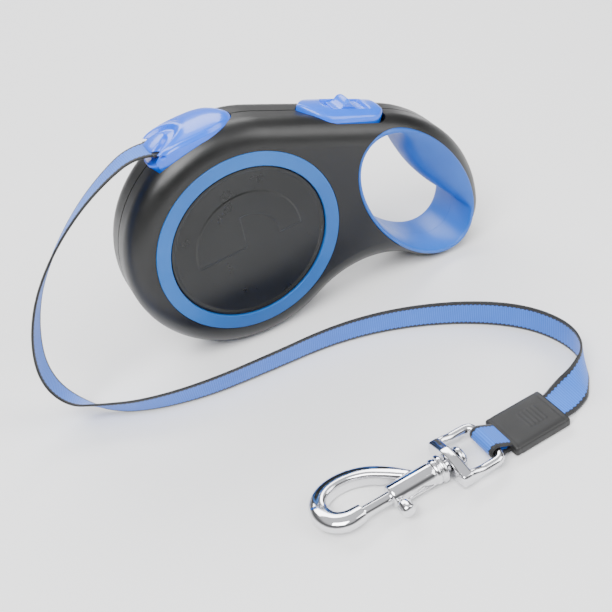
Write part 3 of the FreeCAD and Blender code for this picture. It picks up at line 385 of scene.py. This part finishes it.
def softened(name, parts, place, material, body, replaced=(), voxel=0.28, rounds=6):
    """Closed shapes in their own frame, joined on a voxel grid of that many millimetres, rounded and placed."""
    verts, faces = fused(parts)
    mesh = bpy.data.meshes.new(name + "_raw")
    mesh.from_pydata([tuple(Vector(v) * MM) for v in verts], [], faces)
    raw = bpy.data.objects.new(name + "_raw", mesh)
    bpy.context.scene.collection.objects.link(raw)
    grid = raw.modifiers.new("grid", "REMESH")
    grid.mode = "VOXEL"
    grid.voxel_size = voxel * MM
    soft = raw.modifiers.new("soft", "SMOOTH")
    soft.factor = 0.5
    soft.iterations = rounds
    bpy.context.view_layer.update()
    made = bpy.data.meshes.new_from_object(raw.evaluated_get(bpy.context.evaluated_depsgraph_get()))
    bpy.data.objects.remove(raw)
    bpy.data.meshes.remove(mesh)
    made.name = name
    made.transform(place)
    made.materials.clear()
    made.materials.append(material)
    made.polygons.foreach_set("use_smooth", [True] * len(made.polygons))
    piece = bpy.data.objects.new(name, made)
    bpy.context.scene.collection.objects.link(piece)
    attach(piece, body)
    if replaced:
        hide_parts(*replaced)
    return piece


def local_frame(origin, x_way, y_way):
    """Placement, in metres, of a frame given by its origin in millimetres and two directions."""
    x_way = Vector(x_way).normalized()
    z_way = x_way.cross(Vector(y_way)).normalized()
    y_way = z_way.cross(x_way)
    turn = Matrix((x_way, y_way, z_way)).transposed().to_4x4()
    return Matrix.Translation(Vector(origin) * MM) @ turn


def blend_step(value, low, high):
    """0 below low, 1 above high, smooth between."""
    share = min(max((value - low) / (high - low), 0.0), 1.0)
    return share * share * (3 - 2 * share)


def through(points, value):
    """A smooth line through (x, y) pairs, read at x."""
    if value <= points[0][0]:
        return points[0][1]
    for k in range(len(points) - 1):
        x0, y0 = points[k]
        x1, y1 = points[k + 1]
        if value <= x1:
            before = points[k - 1] if k > 0 else (2 * x0 - x1, 2 * y0 - y1)
            after = points[k + 2] if k + 2 < len(points) else (2 * x1 - x0, 2 * y1 - y0)
            m0 = (y1 - before[1]) / (x1 - before[0]) * (x1 - x0)
            m1 = (after[1] - y0) / (after[0] - x0) * (x1 - x0)
            t = (value - x0) / (x1 - x0)
            return ((2 * t**3 - 3 * t**2 + 1) * y0 + (t**3 - 2 * t**2 + t) * m0
                    + (-2 * t**3 + 3 * t**2) * y1 + (t**3 - t**2) * m1)
    return points[-1][1]


HOUSING_R = 56.8


# ---- side disc: a bevelled disc with a low stepped relief ----------------------------------------------
DISC_R = 38.05
DISC_FACE = 16.35                    # distance of its face from the seam
DISC_FLOOR = DISC_FACE - 0.4         # the face without its relief
DISC_BACK = DISC_FACE - 0.72
RIM_HEIGHT = 0.55
STEP_HEIGHT = 0.4


def disc_height(x, z, radius):
    """Height over the disc's floor: bevelled rim, and a low step with a straight and a round edge."""
    rim = RIM_HEIGHT * blend_step(radius, DISC_R - 2.6, DISC_R - 1.3)
    rim *= 1 - blend_step(radius, DISC_R - 0.7, DISC_R)
    line = z - 0.06 * x + 1.5
    step = min(line, 26.0 - radius)
    inner = radius - 15.0
    raised = blend_step(step, -0.4, 0.4) * blend_step(max(inner, -x - 2.0), -0.4, 0.4)
    return rim + STEP_HEIGHT * raised


def make_discs(material):
    rings, spokes = 110, 300
    for side, node in ((-1, "near_side_disc"), (1, "far_side_disc")):
        verts = [Vector((DRUM.x, side * DISC_FLOOR, DRUM.z))]
        for r in range(1, rings + 1):
            radius = DISC_R * (r / rings) ** 0.9
            for k in range(spokes):
                a = 2 * math.pi * k / spokes
                x, z = radius * math.cos(a), radius * math.sin(a)
                depth = DISC_FLOOR + disc_height(-side * x, z, radius)
                verts.append(Vector((DRUM.x + x, side * depth, DRUM.z + z)))
        back = len(verts)
        for k in range(spokes):
            a = 2 * math.pi * k / spokes
            x, z = DISC_R * math.cos(a), DISC_R * math.sin(a)
            verts.append(Vector((DRUM.x + x, side * DISC_BACK, DRUM.z + z)))
        faces = [(0, 1 + (k + 1) % spokes, 1 + k) for k in range(spokes)]
        for r in range(rings):
            low = 1 + r * spokes
            high = low + spokes if r < rings - 1 else back
            for k in range(spokes):
                k2 = (k + 1) % spokes
                faces.append((low + k, low + k2, high + k2, high + k))
        faces.append(tuple(back + k for k in range(spokes)))
        if side > 0:
            faces = [tuple(reversed(face)) for face in faces]
        new_piece(node + "_relief", verts, faces, material, "casing", (node,), sharp_turn=50)


# ---- tape outlet: x towards the mouth, z out of the housing -----------------------------------------
OUTLET_TURN = 101.0
OUTLET_HALF = 12.2
OUTLET_TOP = [(-20, -3.3), (-18.6, -1.6), (-15.5, 0.6), (-10.6, 2.4), (-1.2, 3.9), (4, 4.5), (8.3, 4.75), (13.7, 4.3),
              (17.5, 3.3), (20, 2.2), (23, 0.6)]
TAPE_RISE = 0.3805                   # slope of the tape's way out
MOUTH_X = 18.67
MOUTH_Z = 1.73


def outlet_half_width(x):
    if x < -2:
        return OUTLET_HALF * math.sqrt(max(0.0, 1 - ((-2 - x) / 18.0) ** 2))
    return through([(-2, 12.2), (4, 12.15), (10, 11.8), (16, 11.1), (20, 10.4), (23, 9.0)], x)


def outlet_top(x, y):
    """Height of the pad over the housing's tangent plane, with the oval ridge, the recess and the tongue."""
    half = max(outlet_half_width(x), 0.5)
    share = min(abs(y) / half, 1.0)
    height = through(OUTLET_TOP, x) - 1.9 * share**2 - 1.5 * blend_step(share, 0.88, 1.0)
    oval = math.hypot((x - 17.5) / 15.0, y / 9.2)
    tongue = math.hypot((x - 17.5) / 9.5, y / 6.0)
    ridge = 0.55 * math.exp(-((oval - 1.06) / 0.09) ** 2)
    recess = -1.7 * (1 - blend_step(oval, 0.8, 0.98))
    island = 1.9 * (1 - blend_step(tongue, 0.78, 1.0))
    return height + ridge + recess + island


def outlet_ring(x, low, steps=48):
    """Closed section of the outlet at x: its top line, then its bottom line."""
    half = outlet_half_width(x)
    ring = []
    for k in range(steps + 1):
        y = -half + 2 * half * k / steps
        ring.append(Vector((x, y, max(outlet_top(x, y), low + 0.02))))
    for k in range(steps + 1):
        ring.append(Vector((x, half - 2 * half * k / steps, low)))
    return ring


def make_outlet(material):
    up = Vector((math.cos(math.radians(OUTLET_TURN)), 0, math.sin(math.radians(OUTLET_TURN))))
    out = Vector((math.cos(math.radians(OUTLET_TURN + 90)), 0, math.sin(math.radians(OUTLET_TURN + 90))))
    place = local_frame(DRUM + up * HOUSING_R, out, Vector((0, -1, 0)))

    def tape_z(x):
        return MOUTH_Z + TAPE_RISE * (x - MOUTH_X)

    def base(x):
        return -x * x / (2 * HOUSING_R) - 4.8

    body = [outlet_ring(x, base(x)) for x in [-19.6 + 0.5 * k for k in range(56)]]
    hood = []
    for k in range(24):
        x = 7.6 + 0.5 * k
        hood.append(outlet_ring(x, min(tape_z(x) + 1.0, outlet_top(x, 0) - 0.5)))
    parts = [loft(body), loft(hood)]
    for side in (-1, 1):
        cheek = []
        for k in range(24):
            x = 7.6 + 0.5 * k
            half = outlet_half_width(x) * (1 - 0.12 * blend_step(x, 14, 20))
            inner = 8.3
            high = outlet_top(x, side * (half - 0.4)) - 2.6 * blend_step(x, 12, 19)
            cheek.append([
                Vector((x, side * inner, base(x))), Vector((x, side * half, base(x))),
                Vector((x, side * half, high)), Vector((x, side * inner, high + 0.6)),
            ])
        parts.append(loft(cheek))
    lip = []
    for k in range(30):
        x = 7.6 + 0.5 * k
        half = outlet_half_width(x) * math.sqrt(max(0.02, 1 - max(0.0, (x - 14.0) / 8.4) ** 2))
        top = tape_z(x) - 1.3 - 0.42 * max(0.0, x - 11)
        ring = []
        steps = 24
        for i in range(steps + 1):
            y = -half + 2 * half * i / steps
            rise = 2.2 * (abs(y) / max(half, 0.5)) ** 4 * blend_step(21.5 - x, 0, 6)
            ring.append(Vector((x, y, max(top + rise, base(x) + 0.1))))
        for i in range(steps + 1):
            ring.append(Vector((x, half - 2 * half * i / steps, base(x))))
        lip.append(ring)
    parts.append(loft(lip))
    softened("outlet_hood", parts, place, material, "casing", ("tape_outlet",), 0.26, 9)


# ---- brake button and lock slider: x along the casing's top line, z out of it -------------------------
BUTTON_AT = Vector((5.75, 0, 102.148))
BUTTON_WAY = Vector((0.93762, 0, -0.34767))
BUTTON_LENGTH = 42.5
BUTTON_HALF = 12.0
BUTTON_NOSE = 13.5
BUTTON_CORNER = 8.0
BUTTON_RISE = 2.9
WELL_FRONT = 12.6
WELL_BACK = 34.6
WELL_HALF = 5.6


def button_half_width(x):
    if x < BUTTON_NOSE:
        share = max(x, 0.0) / BUTTON_NOSE
        return BUTTON_HALF * (1 - (1 - share) ** 1.7) ** 0.9
    half = BUTTON_HALF - 1.1 * blend_step(x, BUTTON_NOSE, BUTTON_LENGTH)
    if x > BUTTON_LENGTH - BUTTON_CORNER:
        share = (x - BUTTON_LENGTH + BUTTON_CORNER) / BUTTON_CORNER
        half -= BUTTON_CORNER * (1 - math.sqrt(max(0.0, 1 - share**2)))
    return half


def button_top(x, y):
    half = max(button_half_width(x), 0.4)
    edge = half - abs(y)
    edge = min(edge, BUTTON_LENGTH - x, x * 0.9 + 0.2)
    height = BUTTON_RISE + 0.35 * math.sin(math.pi * min(max(x / BUTTON_LENGTH, 0), 1))
    height -= 2.9 * (abs(y) / BUTTON_HALF) ** 2.2
    if edge < 1.9:
        height -= 1.9 - math.sqrt(max(0.0, 1.9**2 - (1.9 - max(edge, 0)) ** 2))
    front = WELL_FRONT + 2.4 * (abs(y) / WELL_HALF) ** 2
    inside = min(x - front, WELL_BACK - x, WELL_HALF - abs(y))
    height -= 2.1 * blend_step(inside, -0.45, 0.45)
    rim = math.exp(-((inside + 0.95) / 0.5) ** 2)
    return height + 0.14 * rim


def button_sections(x0, x1, gap, low, top, half_width, steps=72):
    sections = []
    count = round((x1 - x0) / gap)
    for k in range(count + 1):
        x = x0 + (x1 - x0) * k / count
        half = max(half_width(x), 0.15)
        ring = [Vector((x, -half + 2 * half * i / steps, 0)) for i in range(steps + 1)]
        for p in ring:
            p.z = max(top(x, p.y), low + 0.1)
        ring += [Vector((x, half - 2 * half * i / steps, low)) for i in range(steps + 1)]
        sections.append(ring)
    return sections


def slider_top(x, y):
    """The slider's pad, its curled fin and its ribs, over the well's floor."""
    pad = 0.9
    curl = through([(15.5, 0), (19.6, 0.15), (21.2, 1.6), (22.4, 3.7), (23.5, 4.5), (24.6, 4.1), (26.2, 2.5),
                    (28.4, 0.8), (30.2, 0.1), (34, 0)], x)
    side = 1 - 0.22 * (abs(y) / 4.9) ** 4
    ribs = 0.0
    if 28.8 < x < 33.4:
        ribs = 0.35 * max(0.0, math.sin(2 * math.pi * (x - 28.8) / 1.15))
    return BUTTON_RISE - 2.0 + pad + curl * side + ribs


def make_button(materials):
    place = local_frame(BUTTON_AT, BUTTON_WAY, Vector((0, 1, 0)))
    outer = button_sections(0.0, BUTTON_LENGTH, 0.35, -4.6, button_top, button_half_width)
    softened("brake_button_cover", [loft(outer)], place, materials["trim_blue"], "brake_button",
             ("brake_button",), 0.24, 3)
    half = WELL_HALF - 0.55
    body = button_sections(17.3, 33.8, 0.25, BUTTON_RISE - 1.9, slider_top, lambda x: half, 40)
    softened("lock_slider_cover", [loft(body)], place, materials["trim_blue"], "lock_slider",
             ("lock_slider",), 0.2, 3)


# ---- grip lining -------------------------------------------------------------------------------------
GRIP_X = 88.3 + SHIFT
GRIP_Z = 43.8
GRIP_LONG = 43.8
GRIP_SHORT = 25.4
GRIP_TILT = math.radians(-60.0)
GRIP_DEPTH = 16.6
LIP = 1.9                            # lining's edge at the casing's face
PAD_TOP = Vector((85.8 + SHIFT, 0, 69.3))
PAD_WAY = Vector((0.554, 0, -0.832))
PAD_SIDE = Vector((0.832, 0, 0.554))
PAD_LINE = [(-14, 3.2), (-6, 1.9), (0, 0.2), (6.9, -1.9), (19, -3.6), (34.3, -3.3), (45.9, -1.5), (56.1, 0.2),
            (66, 3)]


def grip_point(turn, inset):
    u = (GRIP_LONG - inset) * math.cos(turn)
    v = (GRIP_SHORT - inset) * math.sin(turn)
    c, s = math.cos(GRIP_TILT), math.sin(GRIP_TILT)
    return Vector((GRIP_X + u * c - v * s, 0, GRIP_Z + u * s + v * c))


def crest_inset(turn):
    """How far the lining's crest stands in from the shells, measured towards the opening's middle line."""
    def in_pad(place):
        away = place - PAD_TOP
        reach = away.dot(PAD_WAY)
        return away.dot(PAD_SIDE) > through(PAD_LINE, reach) and -14 < reach < 66

    low, high = 2.9, 24.0
    if not in_pad(grip_point(turn, low)):
        return low
    for _ in range(24):
        middle = (low + high) / 2
        if in_pad(grip_point(turn, middle)):
            low = middle
        else:
            high = middle
    return low


def make_grip(material):
    turns = 192
    steps = 22
    for side, name in ((-1, "near"), (1, "far")):
        sections = []
        for k in range(turns):
            turn = 2 * math.pi * k / turns
            crest = crest_inset(turn)
            ring = []
            for i in range(steps + 1):
                share = i / steps
                depth = 0.06 + (GRIP_DEPTH - 0.06) * share
                bulge = (1 - share**2.3) ** 0.75
                inset = LIP + (crest - LIP) * bulge
                if i == steps:
                    depth, inset = GRIP_DEPTH, LIP - 0.25
                place = grip_point(turn, inset)
                place.y = side * min(depth, GRIP_DEPTH)
                ring.append(place)
            outer = grip_point(turn, 0.45)
            ring.append(Vector((outer.x, side * (GRIP_DEPTH + 0.12), outer.z)))
            outer = grip_point(turn, 0.12)
            ring.append(Vector((outer.x, side * (GRIP_DEPTH - 0.25), outer.z)))
            ring.append(Vector((outer.x, side * 0.06, outer.z)))
            sections.append(ring)
        around = len(sections[0])
        verts = [p for ring in sections for p in ring]
        faces = grid_faces(turns, around, True, True)
        if side < 0:
            faces = [tuple(reversed(face)) for face in faces]
        new_piece(name + "_grip_cover", verts, faces, material, "casing",
                  (name + "_grip_lining",), sharp_turn=38)


# ---- sleeve, loop and snap: x from the swivel's bar towards the sleeve ---------------------------------
LEAD_AT = Vector((7.25, -136.8, 5.7))
LEAD_WAY = Vector((0.99863, 0.052336, 0))
LEAD_SIDE = Vector((-0.052336, 0.99863, 0))
SNAP_ROLL = math.radians(-5.77)
SLEEVE_START = 7.0
SLEEVE_END = 35.3
BAR_R = 1.9
ARM_R = 2.15
PLATE = (-20.5, -15.1)


def lead_frame(roll=0.0):
    return local_frame(LEAD_AT, LEAD_WAY, LEAD_SIDE) @ Matrix.Rotation(roll, 4, "X")


def sleeve_ring(x, grow):
    """A flat rounded section of the sleeve."""
    half_y, half_z = 10.6 + grow, 2.6 + grow
    middle = -5.7 + 2.6
    ring = []
    segments = 96
    for k in range(segments):
        a = 2 * math.pi * k / segments
        c, s = math.cos(a), math.sin(a)
        y = half_y * math.copysign(abs(c) ** 0.22, c)
        z = half_z * math.copysign(abs(s) ** 0.42, s)
        ring.append(Vector((x, y, middle + z)))
    return ring


def make_sleeve(material):
    sections = []
    for share in [k / 60 for k in range(61)]:
        x = SLEEVE_START + (SLEEVE_END - SLEEVE_START) * share
        end = min(x - SLEEVE_START, SLEEVE_END - x)
        grow = -(1.1 - math.sqrt(max(0.0, 1.1**2 - (1.1 - end) ** 2))) if end < 1.1 else 0.0
        grow -= 0.12 * math.exp(-((end - 2.4) / 0.35) ** 2)
        sections.append(sleeve_ring(x, grow))
    ribs = []
    for k in range(5):
        x = 19.0 + 2.0 * k
        ribs.append(slab(x, x + 0.8, -4.5, 4.5, -2.0, -0.42))
    softened("sleeve_cover", [loft(sections)] + ribs, lead_frame(), material, "casing",
             ("tape_sleeve",), 0.26, 3)


def make_loop(material):
    """The tape's end round the swivel's bar and back into the sleeve, as one ribbon."""
    radius = BAR_R + 0.3 + TAPE_THICK / 2
    middle = -3.1
    points = [Vector((15, 0, middle + 0.6)), Vector((10, 0, middle + 0.6))]
    for degrees in (62, 90, 118, 146, 174, 202, 230, 258, 286):
        a = math.radians(degrees)
        points.append(Vector((radius * math.cos(a), 0, radius * math.sin(a))) * (1.06 if 80 < degrees < 280 else 1.0))
    points += [Vector((5.5, 0, middle - 0.7)), Vector((10, 0, middle - 0.6)), Vector((15, 0, middle - 0.6))]
    place = lead_frame()
    path = [place @ (p * MM) / MM for p in read_spline(points, 24)]
    edges = [LEAD_SIDE.copy() for _ in path]
    samples = even_spacing(path, edges, RIB_PITCH / 4)
    piece = ribbon("loop_webbing", samples, material, "casing", ("tape_loop",))
    return piece


def make_swivel(material):
    arm_y = 13 - ARM_R
    centre = [(-17.0, arm_y - 0.2), (-11.0, arm_y), (-5.2, arm_y), (-1.7, arm_y - 0.2), (0, arm_y - 2.2),
              (0, arm_y - 5.6), (0, 0), (0, 5.6 - arm_y), (0, 2.2 - arm_y), (-1.7, 0.2 - arm_y), (-5.2, -arm_y),
              (-11.0, -arm_y), (-17.0, 0.2 - arm_y)]
    path = read_spline([Vector((x, y, 0)) for x, y in centre], 10)
    sizes = []
    for place in path:
        size = BAR_R + (ARM_R - BAR_R) * blend_step(abs(place.y), 7.0, 10.0)
        sizes.append((size, size + 1.0 * blend_step(-place.x, 9.0, 15.5)))
    bow = oval_tube(path, sizes, Vector((0, 0, 1)))
    x0, x1 = PLATE
    plate = []
    for k in range(49):
        y = -13 + 26 * k / 48
        end = 13 - abs(y)
        swell = 0.9 * math.exp(-(y / 5.6) ** 4)
        high = (4.3 + swell) * (1 - 0.30 * (1 - blend_step(end, 0.0, 7.0)))
        round_end = math.sqrt(max(0.06, 1 - max(0.0, 1 - end / 1.6) ** 2))
        ring = []
        for i in range(40):
            a = 2 * math.pi * i / 40
            c, s = math.cos(a), math.sin(a)
            u = math.copysign(abs(c) ** 0.4, c) * (x1 - x0) / 2 * round_end
            v = math.copysign(abs(s) ** 0.55, s) * high * round_end
            ring.append(Vector(((x0 + x1) / 2 + u, y, v)))
        plate.append(ring)
    softened("swivel_bow", [bow, loft(plate)], lead_frame(), material, "swivel_frame",
             ("swivel_frame",), 0.22, 6)


def hook_path():
    centre = [(-59.6, 0.4), (-61.5, 0.3), (-66.8, 0.2), (-71.6, 3.2), (-73.4, 9.6), (-71.3, 16.0), (-65.2, 19.9),
              (-56.5, 20.2), (-48.0, 16.9), (-41.5, 11.2), (-36.0, 5.4), (-32.0, 1.2)]
    return read_spline([Vector((x, y, 0)) for x, y in centre], 16)


def make_snap(material):
    """Hook, barrel, collar and post as one body: turned parts, and a hook with a flat inner wall."""
    path = hook_path()
    sections = []
    for k, place in enumerate(path):
        way = (path[min(k + 1, len(path) - 1)] - path[max(k - 1, 0)]).normalized()
        inward = Vector((way.y, -way.x, 0))
        share = k / (len(path) - 1)
        high = through([(0, 3.3), (0.12, 3.5), (0.35, 3.6), (0.6, 3.6), (0.85, 3.4), (1, 2.6)], share)
        thick = through([(0, 3.6), (0.15, 4.3), (0.35, 4.5), (0.6, 4.2), (0.8, 4.0), (0.9, 3.6), (1, 2.4)], share)
        ring = []
        for i in range(36):
            a = 2 * math.pi * i / 36
            c, s = math.cos(a), math.sin(a)
            if c > 0:
                u = 0.80 * abs(c) ** 0.5
                v = math.copysign(abs(s) ** 0.62, s)
            else:
                u = -abs(c)
                v = math.copysign(abs(s) ** 0.85, s)
            ring.append(place + inward * (u * thick) + Vector((0, 0, 1)) * (v * high))
        sections.append(ring)
    barrel = lathe([(-47.4, 3.9), (-47.1, 4.5), (-46.3, 4.85), (-33, 4.9), (-28.2, 4.9), (-27.4, 4.7), (-26.6, 4.6),
                    (-24.6, 4.6), (-23.9, 3.6)])
    for place in barrel[0]:
        if -46.0 < place.x < -30.6 and place.y < 0 and abs(place.z) < 1.2:
            place.y *= 0.7
    collar = lathe([(-27.2, 4.7), (-26.9, 5.2), (-26.1, 5.5), (-25.3, 5.4), (-24.8, 4.9), (-24.5, 4.9), (-24.1, 5.7),
                    (-23.2, 5.95), (-22.3, 5.75), (-21.8, 5.0), (-21.5, 4.0)])
    post = lathe([(-24.0, 2.5), (-14.0, 2.5)], 40)
    head = lathe([(-14.9, 4.0), (-14.7, 4.7), (-14.0, 4.95), (-13.0, 4.85), (-12.3, 4.2), (-12.1, 2.6)], 48)
    softened("snap_hook", [loft(sections), barrel, collar, post, head], lead_frame(SNAP_ROLL), material,
             "snap_body", ("snap_body",), 0.22, 6)


def make_bolt(material):
    rod = lathe([(-59.9, 1.9), (-59.6, 2.45), (-58.9, 2.6), (-40, 2.6)], 40)
    neck_x = -45.1
    knob = []
    for reach, radius in ((4.0, 1.7), (5.6, 1.7), (6.2, 2.5), (6.9, 3.05), (8.6, 3.15), (10.4, 3.05), (11.3, 2.6),
                          (11.8, 1.8), (12.0, 0.8)):
        ring = []
        for k in range(40):
            a = 2 * math.pi * k / 40
            ring.append(Vector((neck_x + radius * math.cos(a), -reach, radius * math.sin(a))))
        knob.append(ring)
    softened("snap_thumb_bolt", [rod, loft(knob)], lead_frame(SNAP_ROLL), material, "snap_bolt",
             ("snap_bolt",), 0.2, 5)


# ---- floor and light -------------------------------------------------------------------------------
def make_stage():
    mesh = bpy.data.meshes.new("studio_floor")
    half = 6.0
    mesh.from_pydata([(-half, -half, 0), (half, -half, 0), (half, half, 0), (-half, half, 0)], [], [(0, 1, 2, 3)])
    n = Nodes("studio_floor")
    shade = n.noise(3.0, 2.0)
    n.set(Base_Color=n.mix(shade, (0.86, 0.86, 0.86), (0.9, 0.9, 0.9)), Roughness=0.9)
    mesh.materials.append(n.material)
    floor = bpy.data.objects.new("studio_floor", mesh)
    bpy.context.scene.collection.objects.link(floor)


def make_world():
    world = bpy.data.worlds.new("studio")
    world.use_nodes = True
    tree = world.node_tree
    place = tree.nodes.new("ShaderNodeTexCoord")
    split = tree.nodes.new("ShaderNodeSeparateXYZ")
    ramp = tree.nodes.new("ShaderNodeValToRGB")
    tree.links.new(place.outputs["Generated"], split.inputs[0])
    tree.links.new(split.outputs["Z"], ramp.inputs["Fac"])
    ramp.color_ramp.elements[0].position = 0.0
    ramp.color_ramp.elements[0].color = (0.82, 0.82, 0.83, 1)
    ramp.color_ramp.elements[1].position = 1.0
    ramp.color_ramp.elements[1].color = (0.95, 0.96, 1.0, 1)
    for position, grey in ((0.12, 0.8), (0.3, 0.16), (0.55, 0.2), (0.75, 0.9)):
        stop = ramp.color_ramp.elements.new(position)
        stop.color = (grey, grey, grey * 1.02, 1)
    background = tree.nodes["Background"]
    tree.links.new(ramp.outputs["Color"], background.inputs["Color"])
    background.inputs["Strength"].default_value = 1.0
    bpy.context.scene.world = world


def area_light(name, place, aim, size, power, colour=(1, 1, 1)):
    data = bpy.data.lights.new(name, "AREA")
    data.shape = "RECTANGLE"
    data.size, data.size_y = size
    data.energy = power
    data.color = colour
    lamp = bpy.data.objects.new(name, data)
    lamp.location = place
    way = Vector(aim) - Vector(place)
    lamp.rotation_euler = way.to_track_quat("-Z", "Y").to_euler()
    bpy.context.scene.collection.objects.link(lamp)


def make_lights():
    area_light("key_softbox", (-0.5, -0.55, 1.1), (0, -0.05, 0.05), (0.9, 0.7), 26)
    area_light("fill_softbox", (0.9, -0.7, 0.8), (0, -0.05, 0.05), (0.8, 0.8), 12)
    area_light("rim_softbox", (0.1, 0.9, 0.9), (0, 0, 0.05), (1.4, 0.5), 18)


# ---- materials -------------------------------------------------------------------------------------
def make_materials():
    return {
        "shell_plastic": plastic("satin_black", (0.0030, 0.0031, 0.0030), (0.0048, 0.0049, 0.0047), 0.36),
        "ring_blue": plastic("flat_blue", (0.008, 0.10, 0.36), (0.013, 0.125, 0.42), 0.5),
        "disc_black": plastic("disc_black", (0.0035, 0.0038, 0.0036), (0.0055, 0.006, 0.0056), 0.3),
        "grip_blue": plastic("soft_blue", (0.008, 0.09, 0.42), (0.014, 0.12, 0.50), 0.4),
        "trim_blue": plastic("gloss_blue", (0.0, 0.11, 0.78), (0.0, 0.14, 0.88), 0.3, grain_depth=0.000004,
                             coat=0.5, coat_rough=0.08),
        "drum_plastic": plastic("nylon_grey", (0.42, 0.43, 0.45), (0.55, 0.56, 0.58), 0.45),
        "spring_strip": metal("spring_steel", (0.32, 0.33, 0.36), 0.25, (1, 1, 8)),
        "spring_plate": metal("plate_steel", (0.5, 0.5, 0.52), 0.35, (1, 6, 1)),
        "axle_steel": metal("turned_steel", (0.55, 0.55, 0.57), 0.22, (1, 12, 1)),
        "bush_brass": metal("turned_brass", (0.62, 0.46, 0.2), 0.25, (1, 12, 1)),
        "screw_steel": metal("zinc_steel", (0.45, 0.46, 0.47), 0.3),
        "tape_webbing": webbing("woven_tape", (0.004, 0.08, 0.46), (0.03, 0.20, 0.78), (0.002, 0.002, 0.0025),
                                0.135, RIB_PITCH * MM),
        "sleeve_rubber": plastic("moulded_rubber", (0.008, 0.008, 0.008), (0.013, 0.013, 0.0125), 0.5),
        "snap_chrome": metal("polished_chrome", (0.80, 0.80, 0.82), 0.07, (1, 1, 1), 700.0, 0.000003),
        "pawl_plastic": plastic("glass_nylon", (0.1, 0.1, 0.11), (0.16, 0.16, 0.17), 0.5),
    }


def dress_nodes(materials):
    """Each CAD node that stays gets its slot's procedural material."""
    for entry in frame["record"]["subparts"]:
        node = NODES[entry["node"]]
        node.data.materials.clear()
        node.data.materials.append(materials[entry["material_slot"]])


make_camera()
make_stage()
make_world()
make_lights()
MATERIALS = make_materials()
dress_nodes(MATERIALS)
tape, tape_path = make_free_tape(MATERIALS["tape_webbing"])
make_discs(MATERIALS["disc_black"])
make_outlet(MATERIALS["trim_blue"])
make_button(MATERIALS)
make_grip(MATERIALS["grip_blue"])
make_sleeve(MATERIALS["sleeve_rubber"])
make_loop(MATERIALS["tape_webbing"])
make_swivel(MATERIALS["snap_chrome"])
make_snap(MATERIALS["snap_chrome"])
make_bolt(MATERIALS["snap_chrome"])
